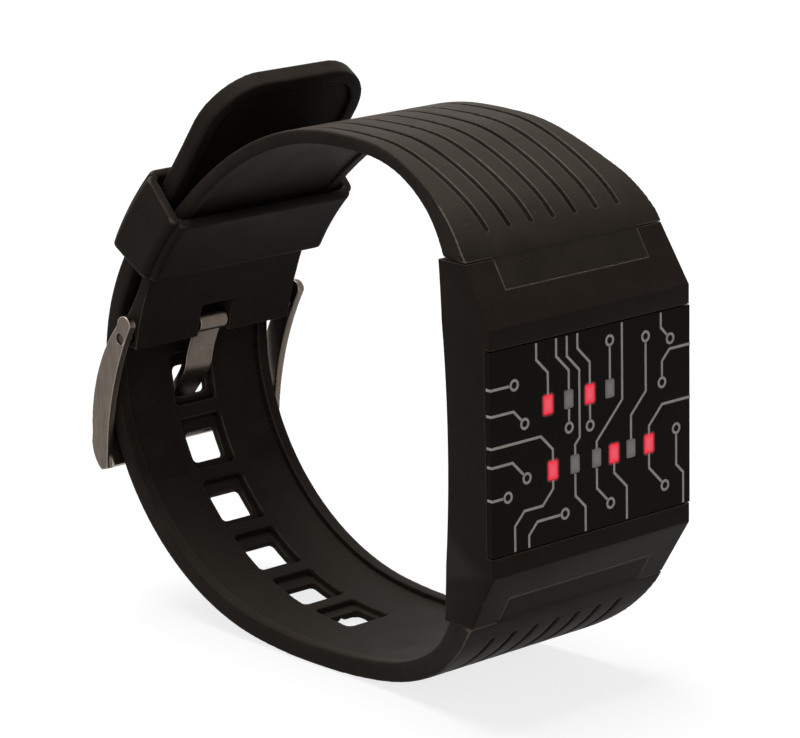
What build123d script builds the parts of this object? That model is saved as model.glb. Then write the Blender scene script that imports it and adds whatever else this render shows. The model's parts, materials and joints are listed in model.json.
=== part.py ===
"""A binary wristwatch, buckled at its last hole and standing on its strap.

X runs across the strap, from the 9 o'clock side to the 3 o'clock side. The display faces -Y, and
its front plane is y = 0. Z points up, to 12 o'clock. The origin is the middle of the display's face.
"""
from build123d import *
import math
import os

os.makedirs("parts", exist_ok=True)

# Sizes of the case
case_width = 38.0
case_end_narrowing = 0.9
front_height = 34.14
case_height = 50.34
case_depth = 10.46
back_hollow = 1.7
slope_depth = 4.92
case_wall = 3.8
case_edge_radius = 0.35

# Clearances
seam_gap = 0.12
slip_gap = 0.1
shaft_gap = 0.05
soft_gap = 0.3
overrun = 2.0
flat_turn = 0.01
flat_share = 0.0001

# The display panel and what holds it
panel_height = 28.28
panel_thickness = 1.0
panel_edge_radius = 0.15
panel_gap = 0.2
adhesive_thickness = 0.15
adhesive_width = 1.6
front_wall = 0.9
mask_side = 5.5
mask_height = 17.0
window_width = 1.75
window_height = 2.65
hour_row_height = 5.15
minute_row_height = -4.12
hour_column_shares = (-0.2237, -0.1205, -0.0158, 0.0855)
minute_column_shares = (-0.2026, -0.0921, 0.0163, 0.1045, 0.1916, 0.2842)
led_width = 1.4
led_height = 2.0
led_thickness = 0.6
led_gap = 0.1

# The circuit board and what it carries
board_side_gap = 0.4
board_end_gap = 3.9
board_thickness = 0.8
mask_rim = 1.0
mask_rim_thickness = 0.25
rest_radius = 1.2
rest_inset = 1.6
chip_size = 5.0
chip_thickness = 0.9
chip_shares = (-0.2196, 0.3878)
crystal_radius = 1.0
crystal_length = 6.0
crystal_shares = (0.2196, 0.4422)
passive_length = 1.6
passive_thickness = 0.5
passive_width = 0.8
passive_shares = (0.2196, 0.3333)
passive_spacing = 2.4
passive_count = 3
switch_room = 1.0
switch_height = 4.2
switch_plunger_share = 0.38
switch_plunger_length = 0.5

# The coin cell, its holder and contacts
cell_radius = 8.0
cell_side_gap = 0.4
cell_back_gap = 0.45
cell_end_gap = 0.5
cell_rim = 1.4
cell_step = 0.5
holder_wall = 0.6
holder_gap = 0.2
holder_step = 0.4
contact_thickness = 0.2
contact_width = 4.0
contact_length = 9.0
clip_width = 4.4

# The back cover
cavity_lip = 1.7
cavity_corner = 1.5
cover_side = 2.3
cover_end = 4.87
cover_depth = 2.46
cover_corner = 3.0
gasket_width = 0.6
gasket_thickness = 0.5
gasket_inset = 0.45
boss_radius = 1.7
screw_radius = 0.7
screw_length = 4.4
screw_head_radius = 1.3
screw_head_height = 0.6
screw_seat_thickness = 0.5
screw_slot_width = 0.3
screw_slot_depth = 0.25
screw_inset = 1.6

# The two push buttons on the 3 o'clock side
button_spacing = 16.0
button_room = 0.5
button_stand = 0.9
button_cap_length = 2.0
button_shaft_share = 0.44
button_travel = 0.6
button_well_depth = 2.5
button_edge_radius = 0.25
spring_wall = 0.25
button_seal_wall = 0.4
button_seal_length = 0.7
button_clip_share = 0.81
button_clip_thickness = 0.3

# The strap
strap_width = 29.8
upper_thickness = 2.1
lower_thickness = 2.95
loop_depth = 76.0
loop_half_height = 37.4
taper_end = 34.5
taper_start = 6.0
tongue_width = 27.0
tongue_length = 4.4
tongue_back = 7.6
pin_radius = 0.75
pin_length = 31.0
pin_depth_place = 5.75
pin_inset = 2.0
groove_count = 7
groove_spacing = 4.1
groove_width = 0.8
groove_depth = 0.45
groove_start = 4.3
groove_end = 55.0
strap_rim = 2.0
upper_sink = 0.4
lower_sink = 0.8
sink_start = 12.0
upper_sink_end = 14.0
end_thickness = 4.0
end_stretch = 9.0
layer_place = 75.9
layer_gap = 1.5
buckle_layer_gap = 0.6
tip_length = 31.3
tip_radius = 8.7

# The row of adjustment holes, counted from the one that the tang is in
hole_count = 6
hole_spacing = 9.9
hole_first = 93.6
hole_width = 6.0
hole_length = 4.8
hole_corner = 0.8
recess_width = 7.8
recess_length = 8.0
recess_shift = 0.4
recess_depth = 1.7

# The buckle
bar_radius = 0.8
bar_from_end = 1.6
bar_depth_place = 1.5
arm_gap = 1.0
arm_thickness = 1.2
arm_width = 4.2
arm_foot_place = 83.9
front_bar_thickness = 2.1
front_bar_height = 4.3
front_bar_place = 87.75
foot_width = 3.0
bar_inset = 0.3
tang_width = 5.2
tang_thickness = 1.2
sleeve_radius = 1.55
slot_side_gap = 0.4
slot_length = 5.0

# The keeper
keeper_length = 12.6
keeper_wall = 1.5
keeper_gap = 0.45
keeper_side_gap = 1.1
keeper_place = 72.5
keeper_slack = 0.7
keeper_corner_radius = 1.6
keeper_edge_radius = 0.4

# Places that follow from the sizes above
case_end_width = case_width - case_end_narrowing
half_height = case_height / 2
half_front = front_height / 2
slope_angle = math.degrees(math.atan2(half_height - half_front, slope_depth))
cavity_half_width = (case_width / 2) - case_wall
cover_width = case_width - 2 * cover_side
cover_height = case_height - 2 * cover_end
cover_seat_depth = case_depth - cover_depth
cavity_height = cover_height - 2 * cavity_lip
mask_width = case_width - 2 * mask_side
board_width = 2 * (cavity_half_width - board_side_gap)
board_height = cavity_height - 2 * board_end_gap
seat_y = panel_thickness + adhesive_thickness
cavity_front = seat_y + front_wall
board_front = cavity_front + mask_rim_thickness + led_gap + led_thickness
board_back = board_front + board_thickness
cell_front = board_back + contact_thickness + slip_gap
cell_back = cover_seat_depth - cell_back_gap - contact_thickness - shaft_gap
cell_thickness = cell_back - cell_front
switch_thickness = cover_seat_depth - board_back - switch_room
boss_spacing_x = 2 * (cavity_half_width - screw_inset)
boss_spacing_z = cavity_height - 2 * screw_inset
rest_spacing_x = board_width - 2 * rest_inset
rest_spacing_z = board_height - 2 * rest_inset
screw_seat = cover_seat_depth + screw_seat_thickness
button_face = case_width / 2
button_well = button_face - button_well_depth
button_depth_place = (board_back + cover_seat_depth) / 2
button_radius = (cover_seat_depth - board_back) / 2 - button_room
button_shaft_radius = button_radius * button_shaft_share
button_seal_radius = button_shaft_radius + shaft_gap + button_seal_wall
button_clip_radius = button_radius * button_clip_share
switch_plunger_radius = button_radius * switch_plunger_share
shaft_end = cavity_half_width - button_clip_thickness - 2 * shaft_gap
switch_front = shaft_end - button_travel - slip_gap
cell_step_radius = cell_radius - cell_rim
holder_side = 2 * (cell_radius + holder_gap + holder_wall)
switch_length = switch_front - switch_plunger_length - holder_side / 2 - cell_side_gap
switch_middle = switch_front - switch_plunger_length - switch_length / 2
cell_place = (holder_side - board_height) / 2 + cell_end_gap
chip_place = (chip_shares[0] * board_width, chip_shares[1] * board_height)
crystal_place = (crystal_shares[0] * board_width, crystal_shares[1] * board_height)
passive_place = (passive_shares[0] * board_width, passive_shares[1] * board_height)


def across(depth):
    """The plane parallel to the display at this depth, facing the wearer, with Z up."""
    return Plane(origin=(0, depth, 0), x_dir=(-1, 0, 0), z_dir=(0, 1, 0))


def sideways(place):
    """The plane square to X at this place, facing the 3 o'clock side, with Y first and Z up."""
    return Plane.YZ.offset(place)


def heading_vector(heading):
    """The unit vector of a heading, in degrees from +Y towards +Z."""
    return math.cos(math.radians(heading)), math.sin(math.radians(heading))


def bend(start, heading, end):
    """One arc that leaves start on a heading and arrives at end: start, heading, turn and length."""
    dy, dz = end[0] - start[0], end[1] - start[1]
    chord = math.hypot(dy, dz)
    turn = 2 * ((math.degrees(math.atan2(dz, dy)) - heading + 180) % 360 - 180)
    half_turn = math.radians(turn) / 2
    length = chord if abs(half_turn) < math.radians(flat_turn) else chord * half_turn / math.sin(half_turn)
    return start, heading, turn, length


def join(stations):
    """A smooth route of two arcs between each pair of stations, given as y, z and heading."""
    route = []
    for (y0, z0, h0), (y1, z1, h1) in zip(stations, stations[1:]):
        t0, t1 = heading_vector(h0), heading_vector(h1)
        vy, vz = y1 - y0, z1 - z0
        along = vy * (t0[0] + t1[0]) + vz * (t0[1] + t1[1])
        spread = 2 * (1 - t0[0] * t1[0] - t0[1] * t1[1])
        square = vy * vy + vz * vz
        if spread < math.radians(flat_turn):
            reach = square / (2 * along)
        else:
            reach = (-along + math.sqrt(along * along + spread * square)) / spread
        middle = ((y0 + y1 + reach * (t0[0] - t1[0])) / 2, (z0 + z1 + reach * (t0[1] - t1[1])) / 2)
        first = bend((y0, z0), h0, middle)
        route.append(first)
        route.append(bend(middle, h0 + first[2], (y1, z1)))
    return route


def route_length(route):
    """The length of a route."""
    return sum(step[3] for step in route)


def place(route, distance):
    """The point of a route at this distance from its start, and its heading there."""
    for start, heading, turn, length in route:
        if distance <= length or (start, heading, turn, length) == route[-1]:
            part_turn = turn * distance / length
            half_turn = math.radians(part_turn) / 2
            chord = distance if half_turn == 0 else distance * math.sin(half_turn) / half_turn
            step = heading_vector(heading + part_turn / 2)
            return start[0] + chord * step[0], start[1] + chord * step[1], heading + part_turn
        distance -= length


def stand_off(station, height, side):
    """The station moved outwards by a height: side is 1 where outwards is to the left, else -1."""
    y, z, heading = station
    step = heading_vector(heading + side * 90)
    return y + height * step[0], z + height * step[1], heading


def draw(route, first, last):
    """Draw a route's arcs between two distances, in the line that is being built."""
    marks = [0.0]
    for step in route:
        marks.append(marks[-1] + step[3])
    stops = [first] + [mark for mark in marks if first + slip_gap < mark < last - slip_gap] + [last]
    for low, high in zip(stops, stops[1:]):
        points = [place(route, d)[:2] for d in (low, (low + high) / 2, high)]
        sag = (points[2][0] - points[0][0]) * (points[1][1] - points[0][1])
        sag -= (points[2][1] - points[0][1]) * (points[1][0] - points[0][0])
        if abs(sag) < flat_share * (high - low) ** 2:
            Line(points[0], points[2])
        else:
            ThreePointArc(points[0], points[1], points[2])


def strap_plane(route, distance, height, side):
    """A plane across the strap's thickness: its x is the watch's X and its z points outwards."""
    y, z, heading = stand_off(place(route, distance), height, side)
    step = heading_vector(heading + side * 90)
    return Plane(origin=(0, y, z), x_dir=(1, 0, 0), z_dir=(0, step[0], step[1]))


# The strap's routes: stations as shares of the loop's depth and half height, with headings
upper_shares = ((0.148, 0.93, 20.4), (0.336, 0.978, 0.0), (0.593, 0.845, -28.0), (0.753, 0.616, -41.0))
upper_end_share = (0.9355, -0.005, -78.0)
lower_shares = ((0.215, -0.963, -11.4), (0.428, -0.998, 0.0), (0.732, -0.891, 24.6), (0.931, -0.551, 56.2))
arm_shares = (
    (-0.127, -0.5),
    (-0.176, -0.15),
    (-0.088, 0.233),
    (0.43, 1.06),
    (0.785, 0.9),
    (0.928, 0.65),
    (1.0, 0.15),
    (0.966, -0.17),
    (0.568, 0.06),
)
tang_shares = ((0.67, -0.24, 15), (0.08, 0.45, 48), (-0.5, 1.75, 50))
sink_shares = (0.0, 0.14, 0.28, 0.42, 0.56, 0.7, 0.85, 1.0)
upper_seam_heading = 62.0
lower_seam_heading = -62.7
layer_heading = 131.0
tip_heading = 124.3
buckle_heading = 100.0


def from_shares(share):
    """A station from its shares of the loop's size."""
    return case_depth + share[0] * loop_depth, share[1] * loop_half_height, share[2]


case_outline = [
    (half_width, z) for half_width, z in (
        (case_width / 2, half_front),
        (case_end_width / 2, half_height),
        (-case_end_width / 2, half_height),
        (-case_width / 2, half_front),
        (-case_width / 2, -half_front),
        (-case_end_width / 2, -half_height),
        (case_end_width / 2, -half_height),
        (case_width / 2, -half_front),
    )
]
seam_z = half_height + seam_gap
pin_height = half_height - pin_inset
hour_places = [(-share * case_width, hour_row_height) for share in hour_column_shares]
minute_places = [(-share * case_width, minute_row_height) for share in minute_column_shares]
window_places = hour_places + minute_places
gasket_outer = (cover_width - 2 * gasket_inset, cover_height - 2 * gasket_inset)
gasket_inner = (gasket_outer[0] - 2 * gasket_width, gasket_outer[1] - 2 * gasket_width)
button_places = [(button_depth_place, sign * button_spacing / 2) for sign in (1, -1)]
seal_place = (cavity_half_width + button_well - button_seal_length) / 2
spring_length = button_face + button_stand - button_cap_length - button_well - button_travel - 2 * shaft_gap
upper_inner_stations = [(case_depth, seam_z, upper_seam_heading)]
upper_inner_stations += [from_shares(share) for share in upper_shares]
upper_inner_stations += [from_shares(upper_end_share)]
upper_inner = join(upper_inner_stations)
upper_length = route_length(upper_inner)

corner_station = (slope_depth, seam_z, slope_angle)
upper_outer_stations = [corner_station]
upper_outer_stations += [stand_off(station, upper_thickness, 1) for station in upper_inner_stations[1:-1]]
upper_outer_stations += [stand_off(place(upper_inner, upper_length - end_stretch), upper_thickness, 1)]
upper_outer_stations += [stand_off(place(upper_inner, upper_length), end_thickness, 1)]
upper_outer = join(upper_outer_stations)

# Past the buckle the lower strap lies on the upper one, and its tip stands straight off it
bar_y, bar_z, bar_heading = stand_off(place(upper_inner, upper_length - bar_from_end), bar_depth_place, 1)
layer_station = stand_off(place(upper_inner, layer_place), upper_thickness + layer_gap, 1)
buckle_station = stand_off(place(upper_inner, upper_length), end_thickness + buckle_layer_gap, 1)
lower_inner_stations = [(case_depth, -seam_z, lower_seam_heading)]
lower_inner_stations += [from_shares(share) for share in lower_shares]
lower_inner_stations += [buckle_station[:2] + (buckle_heading,), layer_station[:2] + (layer_heading,)]
tip_step = heading_vector((layer_heading + tip_heading) / 2)
tip_y, tip_z = layer_station[0] + tip_length * tip_step[0], layer_station[1] + tip_length * tip_step[1]
tip_station = (tip_y, tip_z, tip_heading)
lower_inner_stations += [tip_station]
lower_inner = join(lower_inner_stations)
lower_length = route_length(lower_inner)
lower_outer_stations = [(slope_depth, -seam_z, -slope_angle)]
lower_outer_stations += [stand_off(station, lower_thickness, -1) for station in lower_inner_stations[1:]]
lower_outer = join(lower_outer_stations)


def lower_point(distance, height):
    """The point at this distance along the lower strap's inner face and this height over it."""
    return stand_off(place(lower_inner, distance), height, -1)[:2]


def strap_body(inner, outer):
    """Make a strap half in the part that is being built: its band, its taper and its tongue."""
    with BuildSketch(Plane.YZ) as side_view:
        with BuildLine():
            draw(inner, 0.0, route_length(inner))
            draw(outer, 0.0, route_length(outer))
            Line(place(inner, 0.0)[:2], place(outer, 0.0)[:2])
            Line(place(inner, route_length(inner))[:2], place(outer, route_length(outer))[:2])
        make_face()
    extrude(side_view.sketch, amount=case_end_width, both=True)
    with BuildSketch(Plane.XY) as plan:
        for flip in (1, -1):
            with BuildLine():
                far = case_depth + loop_depth + case_depth
                side = flip * strap_width / 2
                rim = flip * case_end_width / 2
                Polyline((side, taper_end), (side, far), (0, far), (0, 0), (rim, 0), (rim, taper_start))
                TangentArc((side, taper_end), (rim, taper_start), tangent=(0, -1))
            make_face()
    extrude(plan.sketch, amount=loop_depth, both=True, mode=Mode.INTERSECT)


def tongue_view(sign, gap):
    """The side view of a tongue, grown by a gap inside the case for its pocket."""
    low_z = half_height - tongue_length * math.sin(math.radians(slope_angle)) - gap
    low_y = slope_depth - (half_height - low_z) / math.tan(math.radians(slope_angle))
    with BuildSketch(Plane.YZ) as side_view:
        with BuildLine():
            Polyline(
                (slope_depth, sign * seam_z),
                (slope_depth, sign * half_height),
                (low_y, sign * low_z),
                (tongue_back + gap, sign * low_z),
                (tongue_back + gap, sign * seam_z),
                close=True,
            )
        make_face()
    return side_view.sketch


def tongue(sign):
    """Add the tongue that lies flush in the case's slope, with the pin's hole."""
    extrude(tongue_view(sign, 0.0), amount=tongue_width / 2, both=True)
    with BuildSketch(Plane.YZ) as pin_hole:
        with Locations((pin_depth_place, sign * (half_height - pin_inset))):
            Circle(pin_radius + shaft_gap)
    extrude(pin_hole.sketch, amount=case_width, both=True, mode=Mode.SUBTRACT)


def grooves(outer, first, last, side):
    """Cut the row of grooves that run along the strap's outer face, with round ends."""
    floor = join([stand_off(place(outer, d), -groove_depth, side) for d in (first, (first + last) / 2, last)])
    roof = join([stand_off(place(outer, d), groove_depth, side) for d in (first, (first + last) / 2, last)])
    middles = [groove_spacing * (k - (groove_count - 1) / 2) for k in range(groove_count)]
    with BuildSketch(*[Plane.YZ.offset(x) for x in middles]) as lengths:
        with BuildLine():
            draw(floor, 0.0, route_length(floor))
            draw(roof, 0.0, route_length(roof))
            Line(place(floor, 0.0)[:2], place(roof, 0.0)[:2])
            Line(place(floor, route_length(floor))[:2], place(roof, route_length(roof))[:2])
        make_face()
    extrude(lengths.sketch, amount=groove_width / 2, both=True, mode=Mode.SUBTRACT)
    for distance in (first, last):
        with BuildSketch(strap_plane(outer, distance, -groove_depth, side)) as ends:
            with GridLocations(groove_spacing, groove_spacing, groove_count, 1):
                Circle(groove_width / 2)
        extrude(ends.sketch, amount=groove_depth * 2, mode=Mode.SUBTRACT)


def sink(inner, first, last, depth, corner, side):
    """Sink the strap's inner face between its two rims, from one distance to another."""
    marks = [first + (last - first) * share for share in sink_shares]
    floor = join([stand_off(place(inner, d), depth, side) for d in marks])
    roof = join([stand_off(place(inner, d), -depth, side) for d in marks])
    with BuildPart(mode=Mode.PRIVATE) as hollow:
        with BuildSketch(Plane.YZ):
            with BuildLine():
                draw(floor, 0.0, route_length(floor))
                draw(roof, 0.0, route_length(roof))
                Line(place(floor, 0.0)[:2], place(roof, 0.0)[:2])
                Line(place(floor, route_length(floor))[:2], place(roof, route_length(roof))[:2])
            make_face()
        extrude(amount=strap_width / 2 - strap_rim, both=True)
        end_y, end_z = place(inner, last)[:2]
        corners = hollow.edges().filter_by(
            lambda edge: abs(edge.center().X) > strap_width / 2 - strap_rim - slip_gap
            and math.dist((edge.center().Y, edge.center().Z), (end_y, end_z)) < depth
            and abs(edge.length - 2 * depth) < slip_gap
        )
        fillet(corners, corner)
    add(hollow.part, mode=Mode.SUBTRACT)


# The upper strap half carries the buckle
with BuildPart() as strap_upper:
    strap_body(upper_inner, upper_outer)
    tongue(1)
    grooves(upper_outer, groove_start, groove_end, 1)
    sink(upper_inner, sink_start, upper_length - upper_sink_end, upper_sink, strap_rim, 1)
    with BuildSketch(Plane.YZ):
        with Locations((bar_y, bar_z)):
            Circle(bar_radius + shaft_gap)
    extrude(amount=case_width, both=True, mode=Mode.SUBTRACT)
    with BuildSketch(strap_plane(upper_inner, upper_length - slot_length / 2, 0.0, 1)):
        with Locations((0, 0)):
            Rectangle(tang_width + 2 * slot_side_gap, slot_length + slot_side_gap)
    extrude(amount=end_thickness + overrun, both=True, mode=Mode.SUBTRACT)
strap_upper.part.label = "strap_upper"
export_step(strap_upper.part, "parts/strap_upper.step")

# The lower strap half has the adjustment holes and the free tip
with BuildPart() as strap_lower:
    strap_body(lower_inner, lower_outer)
    tip_edges = strap_lower.edges().filter_by(
        lambda edge: abs(edge.center().X) > strap_width / 2 - slip_gap
        and math.dist((edge.center().Y, edge.center().Z), tip_station[:2]) < lower_thickness
        and abs(edge.length - lower_thickness) < slip_gap
    )
    fillet(tip_edges, tip_radius)
    tongue(-1)
    grooves(lower_outer, groove_start, groove_end, -1)
    sink(lower_inner, sink_start, lower_length - strap_rim, lower_sink, tip_radius - strap_rim, -1)
    for k in range(hole_count):
        hole_s = hole_first - k * hole_spacing
        with BuildSketch(strap_plane(lower_inner, hole_s, 0.0, -1)):
            RectangleRounded(hole_width, hole_length, hole_corner)
        extrude(amount=lower_thickness + overrun, both=True, mode=Mode.SUBTRACT)
        recess_s = hole_s + recess_shift
        with BuildSketch(strap_plane(lower_inner, recess_s, recess_depth, -1)):
            RectangleRounded(recess_width, recess_length, hole_corner)
        extrude(amount=-(recess_depth + overrun), mode=Mode.SUBTRACT)
strap_lower.part.label = "strap_lower"
export_step(strap_lower.part, "parts/strap_lower.step")

# The case: a shell whose front and ends are closed, and whose back the cover closes
with BuildPart() as case_body:
    with BuildSketch(Plane.YZ) as case_side_view:
        with BuildLine():
            Polyline(
                (case_depth, half_height),
                (slope_depth, half_height),
                (0, half_front),
                (0, -half_front),
                (slope_depth, -half_height),
                (case_depth, -half_height),
            )
            ThreePointArc((case_depth, -half_height), (case_depth - back_hollow, 0), (case_depth, half_height))
        make_face()
    extrude(amount=case_width, both=True)
    with BuildSketch(across(0)):
        Polygon(*case_outline, align=None)
    extrude(amount=case_depth, mode=Mode.INTERSECT)
    rim_edges = case_body.edges().filter_by(lambda edge: abs(edge.center().Z) < half_height - slip_gap)
    fillet(rim_edges, case_edge_radius)
    with BuildSketch(across(0)):
        Rectangle(case_width + overrun, panel_height + 2 * panel_gap)
    extrude(amount=seat_y, mode=Mode.SUBTRACT)
    with BuildSketch(across(0)):
        Rectangle(mask_width + 2 * slip_gap, mask_height + 2 * slip_gap)
    extrude(amount=case_depth, mode=Mode.SUBTRACT)
    with BuildSketch(across(cavity_front)):
        RectangleRounded(2 * cavity_half_width, cavity_height, cavity_corner)
    extrude(amount=case_depth, mode=Mode.SUBTRACT)
    with BuildSketch(across(cavity_front)):
        with GridLocations(boss_spacing_x, boss_spacing_z, 2, 2):
            Circle(boss_radius)
    extrude(amount=cover_seat_depth - cavity_front)
    with BuildSketch(across(cavity_front)):
        with GridLocations(rest_spacing_x, rest_spacing_z, 2, 2):
            Circle(rest_radius)
    extrude(amount=board_front - cavity_front)
    with BuildSketch(across(cover_seat_depth)):
        RectangleRounded(cover_width, cover_height, cover_corner)
    extrude(amount=case_depth, mode=Mode.SUBTRACT)
    with BuildSketch(across(cover_seat_depth)):
        RectangleRounded(*gasket_outer, cover_corner - gasket_inset)
        RectangleRounded(*gasket_inner, cover_corner - gasket_inset - gasket_width, mode=Mode.SUBTRACT)
    extrude(amount=-gasket_thickness, mode=Mode.SUBTRACT)
    with BuildSketch(across(screw_seat)):
        with GridLocations(boss_spacing_x, boss_spacing_z, 2, 2):
            Circle(screw_radius + shaft_gap)
    extrude(amount=-screw_length - slip_gap, mode=Mode.SUBTRACT)
    for sign in (1, -1):
        extrude(tongue_view(sign, slip_gap), amount=tongue_width / 2 + slip_gap, both=True, mode=Mode.SUBTRACT)
    with BuildSketch(Plane.YZ):
        with Locations((pin_depth_place, pin_height), (pin_depth_place, -pin_height)):
            Circle(pin_radius + shaft_gap)
    extrude(amount=pin_length / 2 + slip_gap, both=True, mode=Mode.SUBTRACT)
    with BuildSketch(sideways(cavity_half_width)):
        with Locations(*button_places):
            Circle(button_shaft_radius + shaft_gap)
    extrude(amount=case_width, mode=Mode.SUBTRACT)
    with BuildSketch(sideways(button_well)):
        with Locations(*button_places):
            Circle(button_radius + shaft_gap)
    extrude(amount=case_width, mode=Mode.SUBTRACT)
    with BuildSketch(sideways(seal_place)):
        with Locations(*button_places):
            Circle(button_seal_radius)
    extrude(amount=button_seal_length, mode=Mode.SUBTRACT)
case_body.part.label = "case_body"
export_step(case_body.part, "parts/case_body.step")

# The dark panel over the front, open where the ten light guides come through
with BuildPart() as display_panel:
    with BuildSketch(across(0)):
        Rectangle(case_width, panel_height)
    extrude(amount=panel_thickness)
    front_sides = display_panel.edges().filter_by(Axis.Z).group_by(Axis.Y)[0]
    fillet(front_sides, panel_edge_radius)
    with BuildSketch(across(0)):
        with Locations(*window_places):
            Rectangle(window_width + 2 * shaft_gap, window_height + 2 * shaft_gap)
    extrude(amount=panel_thickness, mode=Mode.SUBTRACT)
display_panel.part.label = "display_panel"
export_step(display_panel.part, "parts/display_panel.step")

with BuildPart() as panel_adhesive:
    with BuildSketch(across(panel_thickness)):
        Rectangle(case_width - 2 * adhesive_width, panel_height - 2 * slip_gap)
        Rectangle(mask_width + adhesive_width, mask_height + adhesive_width, mode=Mode.SUBTRACT)
    extrude(amount=adhesive_thickness)
panel_adhesive.part.label = "panel_adhesive"
export_step(panel_adhesive.part, "parts/panel_adhesive.step")

# The black grid that keeps each light to its own window
with BuildPart() as light_mask:
    with BuildSketch(across(panel_thickness + adhesive_thickness)):
        Rectangle(mask_width, mask_height)
    extrude(amount=cavity_front - seat_y)
    with BuildSketch(across(cavity_front)):
        Rectangle(mask_width + 2 * mask_rim, mask_height + 2 * mask_rim)
    extrude(amount=mask_rim_thickness)
    with BuildSketch(across(seat_y)):
        with Locations(*window_places):
            Rectangle(window_width + 2 * shaft_gap, window_height + 2 * shaft_gap)
    extrude(amount=case_depth, mode=Mode.SUBTRACT)
light_mask.part.label = "light_mask"
export_step(light_mask.part, "parts/light_mask.step")

# Each row of time bits has its light guides, and its lamps behind them
for row_name, row_places in (("hour", hour_places), ("minute", minute_places)):
    with BuildPart() as light_guides:
        with BuildSketch(across(0)):
            with Locations(*row_places):
                Rectangle(window_width, window_height)
        extrude(amount=cavity_front + mask_rim_thickness)
    light_guides.part.label = row_name + "_light_guides"
    export_step(light_guides.part, "parts/" + row_name + "_light_guides.step")
    with BuildPart() as lamps:
        with BuildSketch(across(board_front)):
            with Locations(*row_places):
                Rectangle(led_width, led_height)
        extrude(amount=-led_thickness)
    lamps.part.label = row_name + "_leds"
    export_step(lamps.part, "parts/" + row_name + "_leds.step")

with BuildPart() as circuit_board:
    with BuildSketch(across(board_front)):
        Rectangle(board_width, board_height)
    extrude(amount=board_thickness)
circuit_board.part.label = "circuit_board"
export_step(circuit_board.part, "parts/circuit_board.step")

with BuildPart() as microcontroller:
    with BuildSketch(across(board_back)):
        with Locations(chip_place):
            Rectangle(chip_size, chip_size)
    extrude(amount=chip_thickness)
microcontroller.part.label = "microcontroller"
export_step(microcontroller.part, "parts/microcontroller.step")

with BuildPart() as quartz_crystal:
    with BuildSketch(sideways(-crystal_place[0] - crystal_length / 2)):
        with Locations((board_back + crystal_radius, crystal_place[1])):
            Circle(crystal_radius)
    extrude(amount=crystal_length)
quartz_crystal.part.label = "quartz_crystal"
export_step(quartz_crystal.part, "parts/quartz_crystal.step")

with BuildPart() as chip_resistors:
    with BuildSketch(across(board_back)):
        with Locations(passive_place):
            with GridLocations(passive_spacing, passive_spacing, passive_count, 1):
                Rectangle(passive_length, passive_width)
    extrude(amount=passive_thickness)
chip_resistors.part.label = "chip_resistors"
export_step(chip_resistors.part, "parts/chip_resistors.step")

# The coin cell lies behind the board, in a frame, between two contacts
with BuildPart() as coin_cell:
    with BuildSketch(across(cell_front)):
        with Locations((0, cell_place)):
            Circle(cell_step_radius)
    extrude(amount=cell_step)
    with BuildSketch(across(cell_front + cell_step)):
        with Locations((0, cell_place)):
            Circle(cell_radius)
    extrude(amount=cell_thickness - cell_step)
coin_cell.part.label = "coin_cell"
export_step(coin_cell.part, "parts/coin_cell.step")

with BuildPart() as cell_holder:
    with BuildSketch(across(board_back)):
        with Locations((0, cell_place)):
            Rectangle(holder_side, holder_side)
            Circle(cell_radius + holder_gap, mode=Mode.SUBTRACT)
    extrude(amount=cell_back - board_back - holder_step)
cell_holder.part.label = "cell_holder"
export_step(cell_holder.part, "parts/cell_holder.step")

with BuildPart() as cell_contact:
    with BuildSketch(across(board_back)):
        with Locations((0, cell_place)):
            Rectangle(contact_width, contact_length)
    extrude(amount=contact_thickness)
cell_contact.part.label = "cell_contact"
export_step(cell_contact.part, "parts/cell_contact.step")

with BuildPart() as cell_clip:
    clip_reach = holder_side / 2 + slip_gap
    clip_top = cell_back + shaft_gap
    with BuildSketch(Plane.YZ):
        with Locations(((board_back + clip_top + contact_thickness) / 2, cell_place)):
            Rectangle(clip_top + contact_thickness - board_back, 2 * (clip_reach + contact_thickness))
        with Locations(((board_back + clip_top) / 2, cell_place)):
            Rectangle(clip_top - board_back, 2 * clip_reach, mode=Mode.SUBTRACT)
    extrude(amount=clip_width / 2, both=True)
cell_clip.part.label = "cell_clip"
export_step(cell_clip.part, "parts/cell_clip.step")

# The back cover carries on the case's hollow back, and four screws hold it on its seal
with BuildPart() as back_cover:
    with BuildSketch(across(cover_seat_depth)):
        RectangleRounded(cover_width - 2 * slip_gap, cover_height - 2 * slip_gap, cover_corner - slip_gap)
    extrude(amount=case_depth)
    extrude(case_side_view.sketch, amount=case_width, both=True, mode=Mode.INTERSECT)
    with BuildSketch(across(cover_seat_depth)):
        with GridLocations(boss_spacing_x, boss_spacing_z, 2, 2):
            Circle(screw_radius + slip_gap)
    extrude(amount=case_depth, mode=Mode.SUBTRACT)
    with BuildSketch(across(screw_seat)):
        with GridLocations(boss_spacing_x, boss_spacing_z, 2, 2):
            Circle(screw_head_radius + slip_gap)
    extrude(amount=case_depth, mode=Mode.SUBTRACT)
back_cover.part.label = "back_cover"
export_step(back_cover.part, "parts/back_cover.step")

with BuildPart() as back_gasket:
    with BuildSketch(across(cover_seat_depth)):
        RectangleRounded(*gasket_outer, cover_corner - gasket_inset)
        RectangleRounded(*gasket_inner, cover_corner - gasket_inset - gasket_width, mode=Mode.SUBTRACT)
    extrude(amount=-gasket_thickness)
back_gasket.part.label = "back_gasket"
export_step(back_gasket.part, "parts/back_gasket.step")

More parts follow.
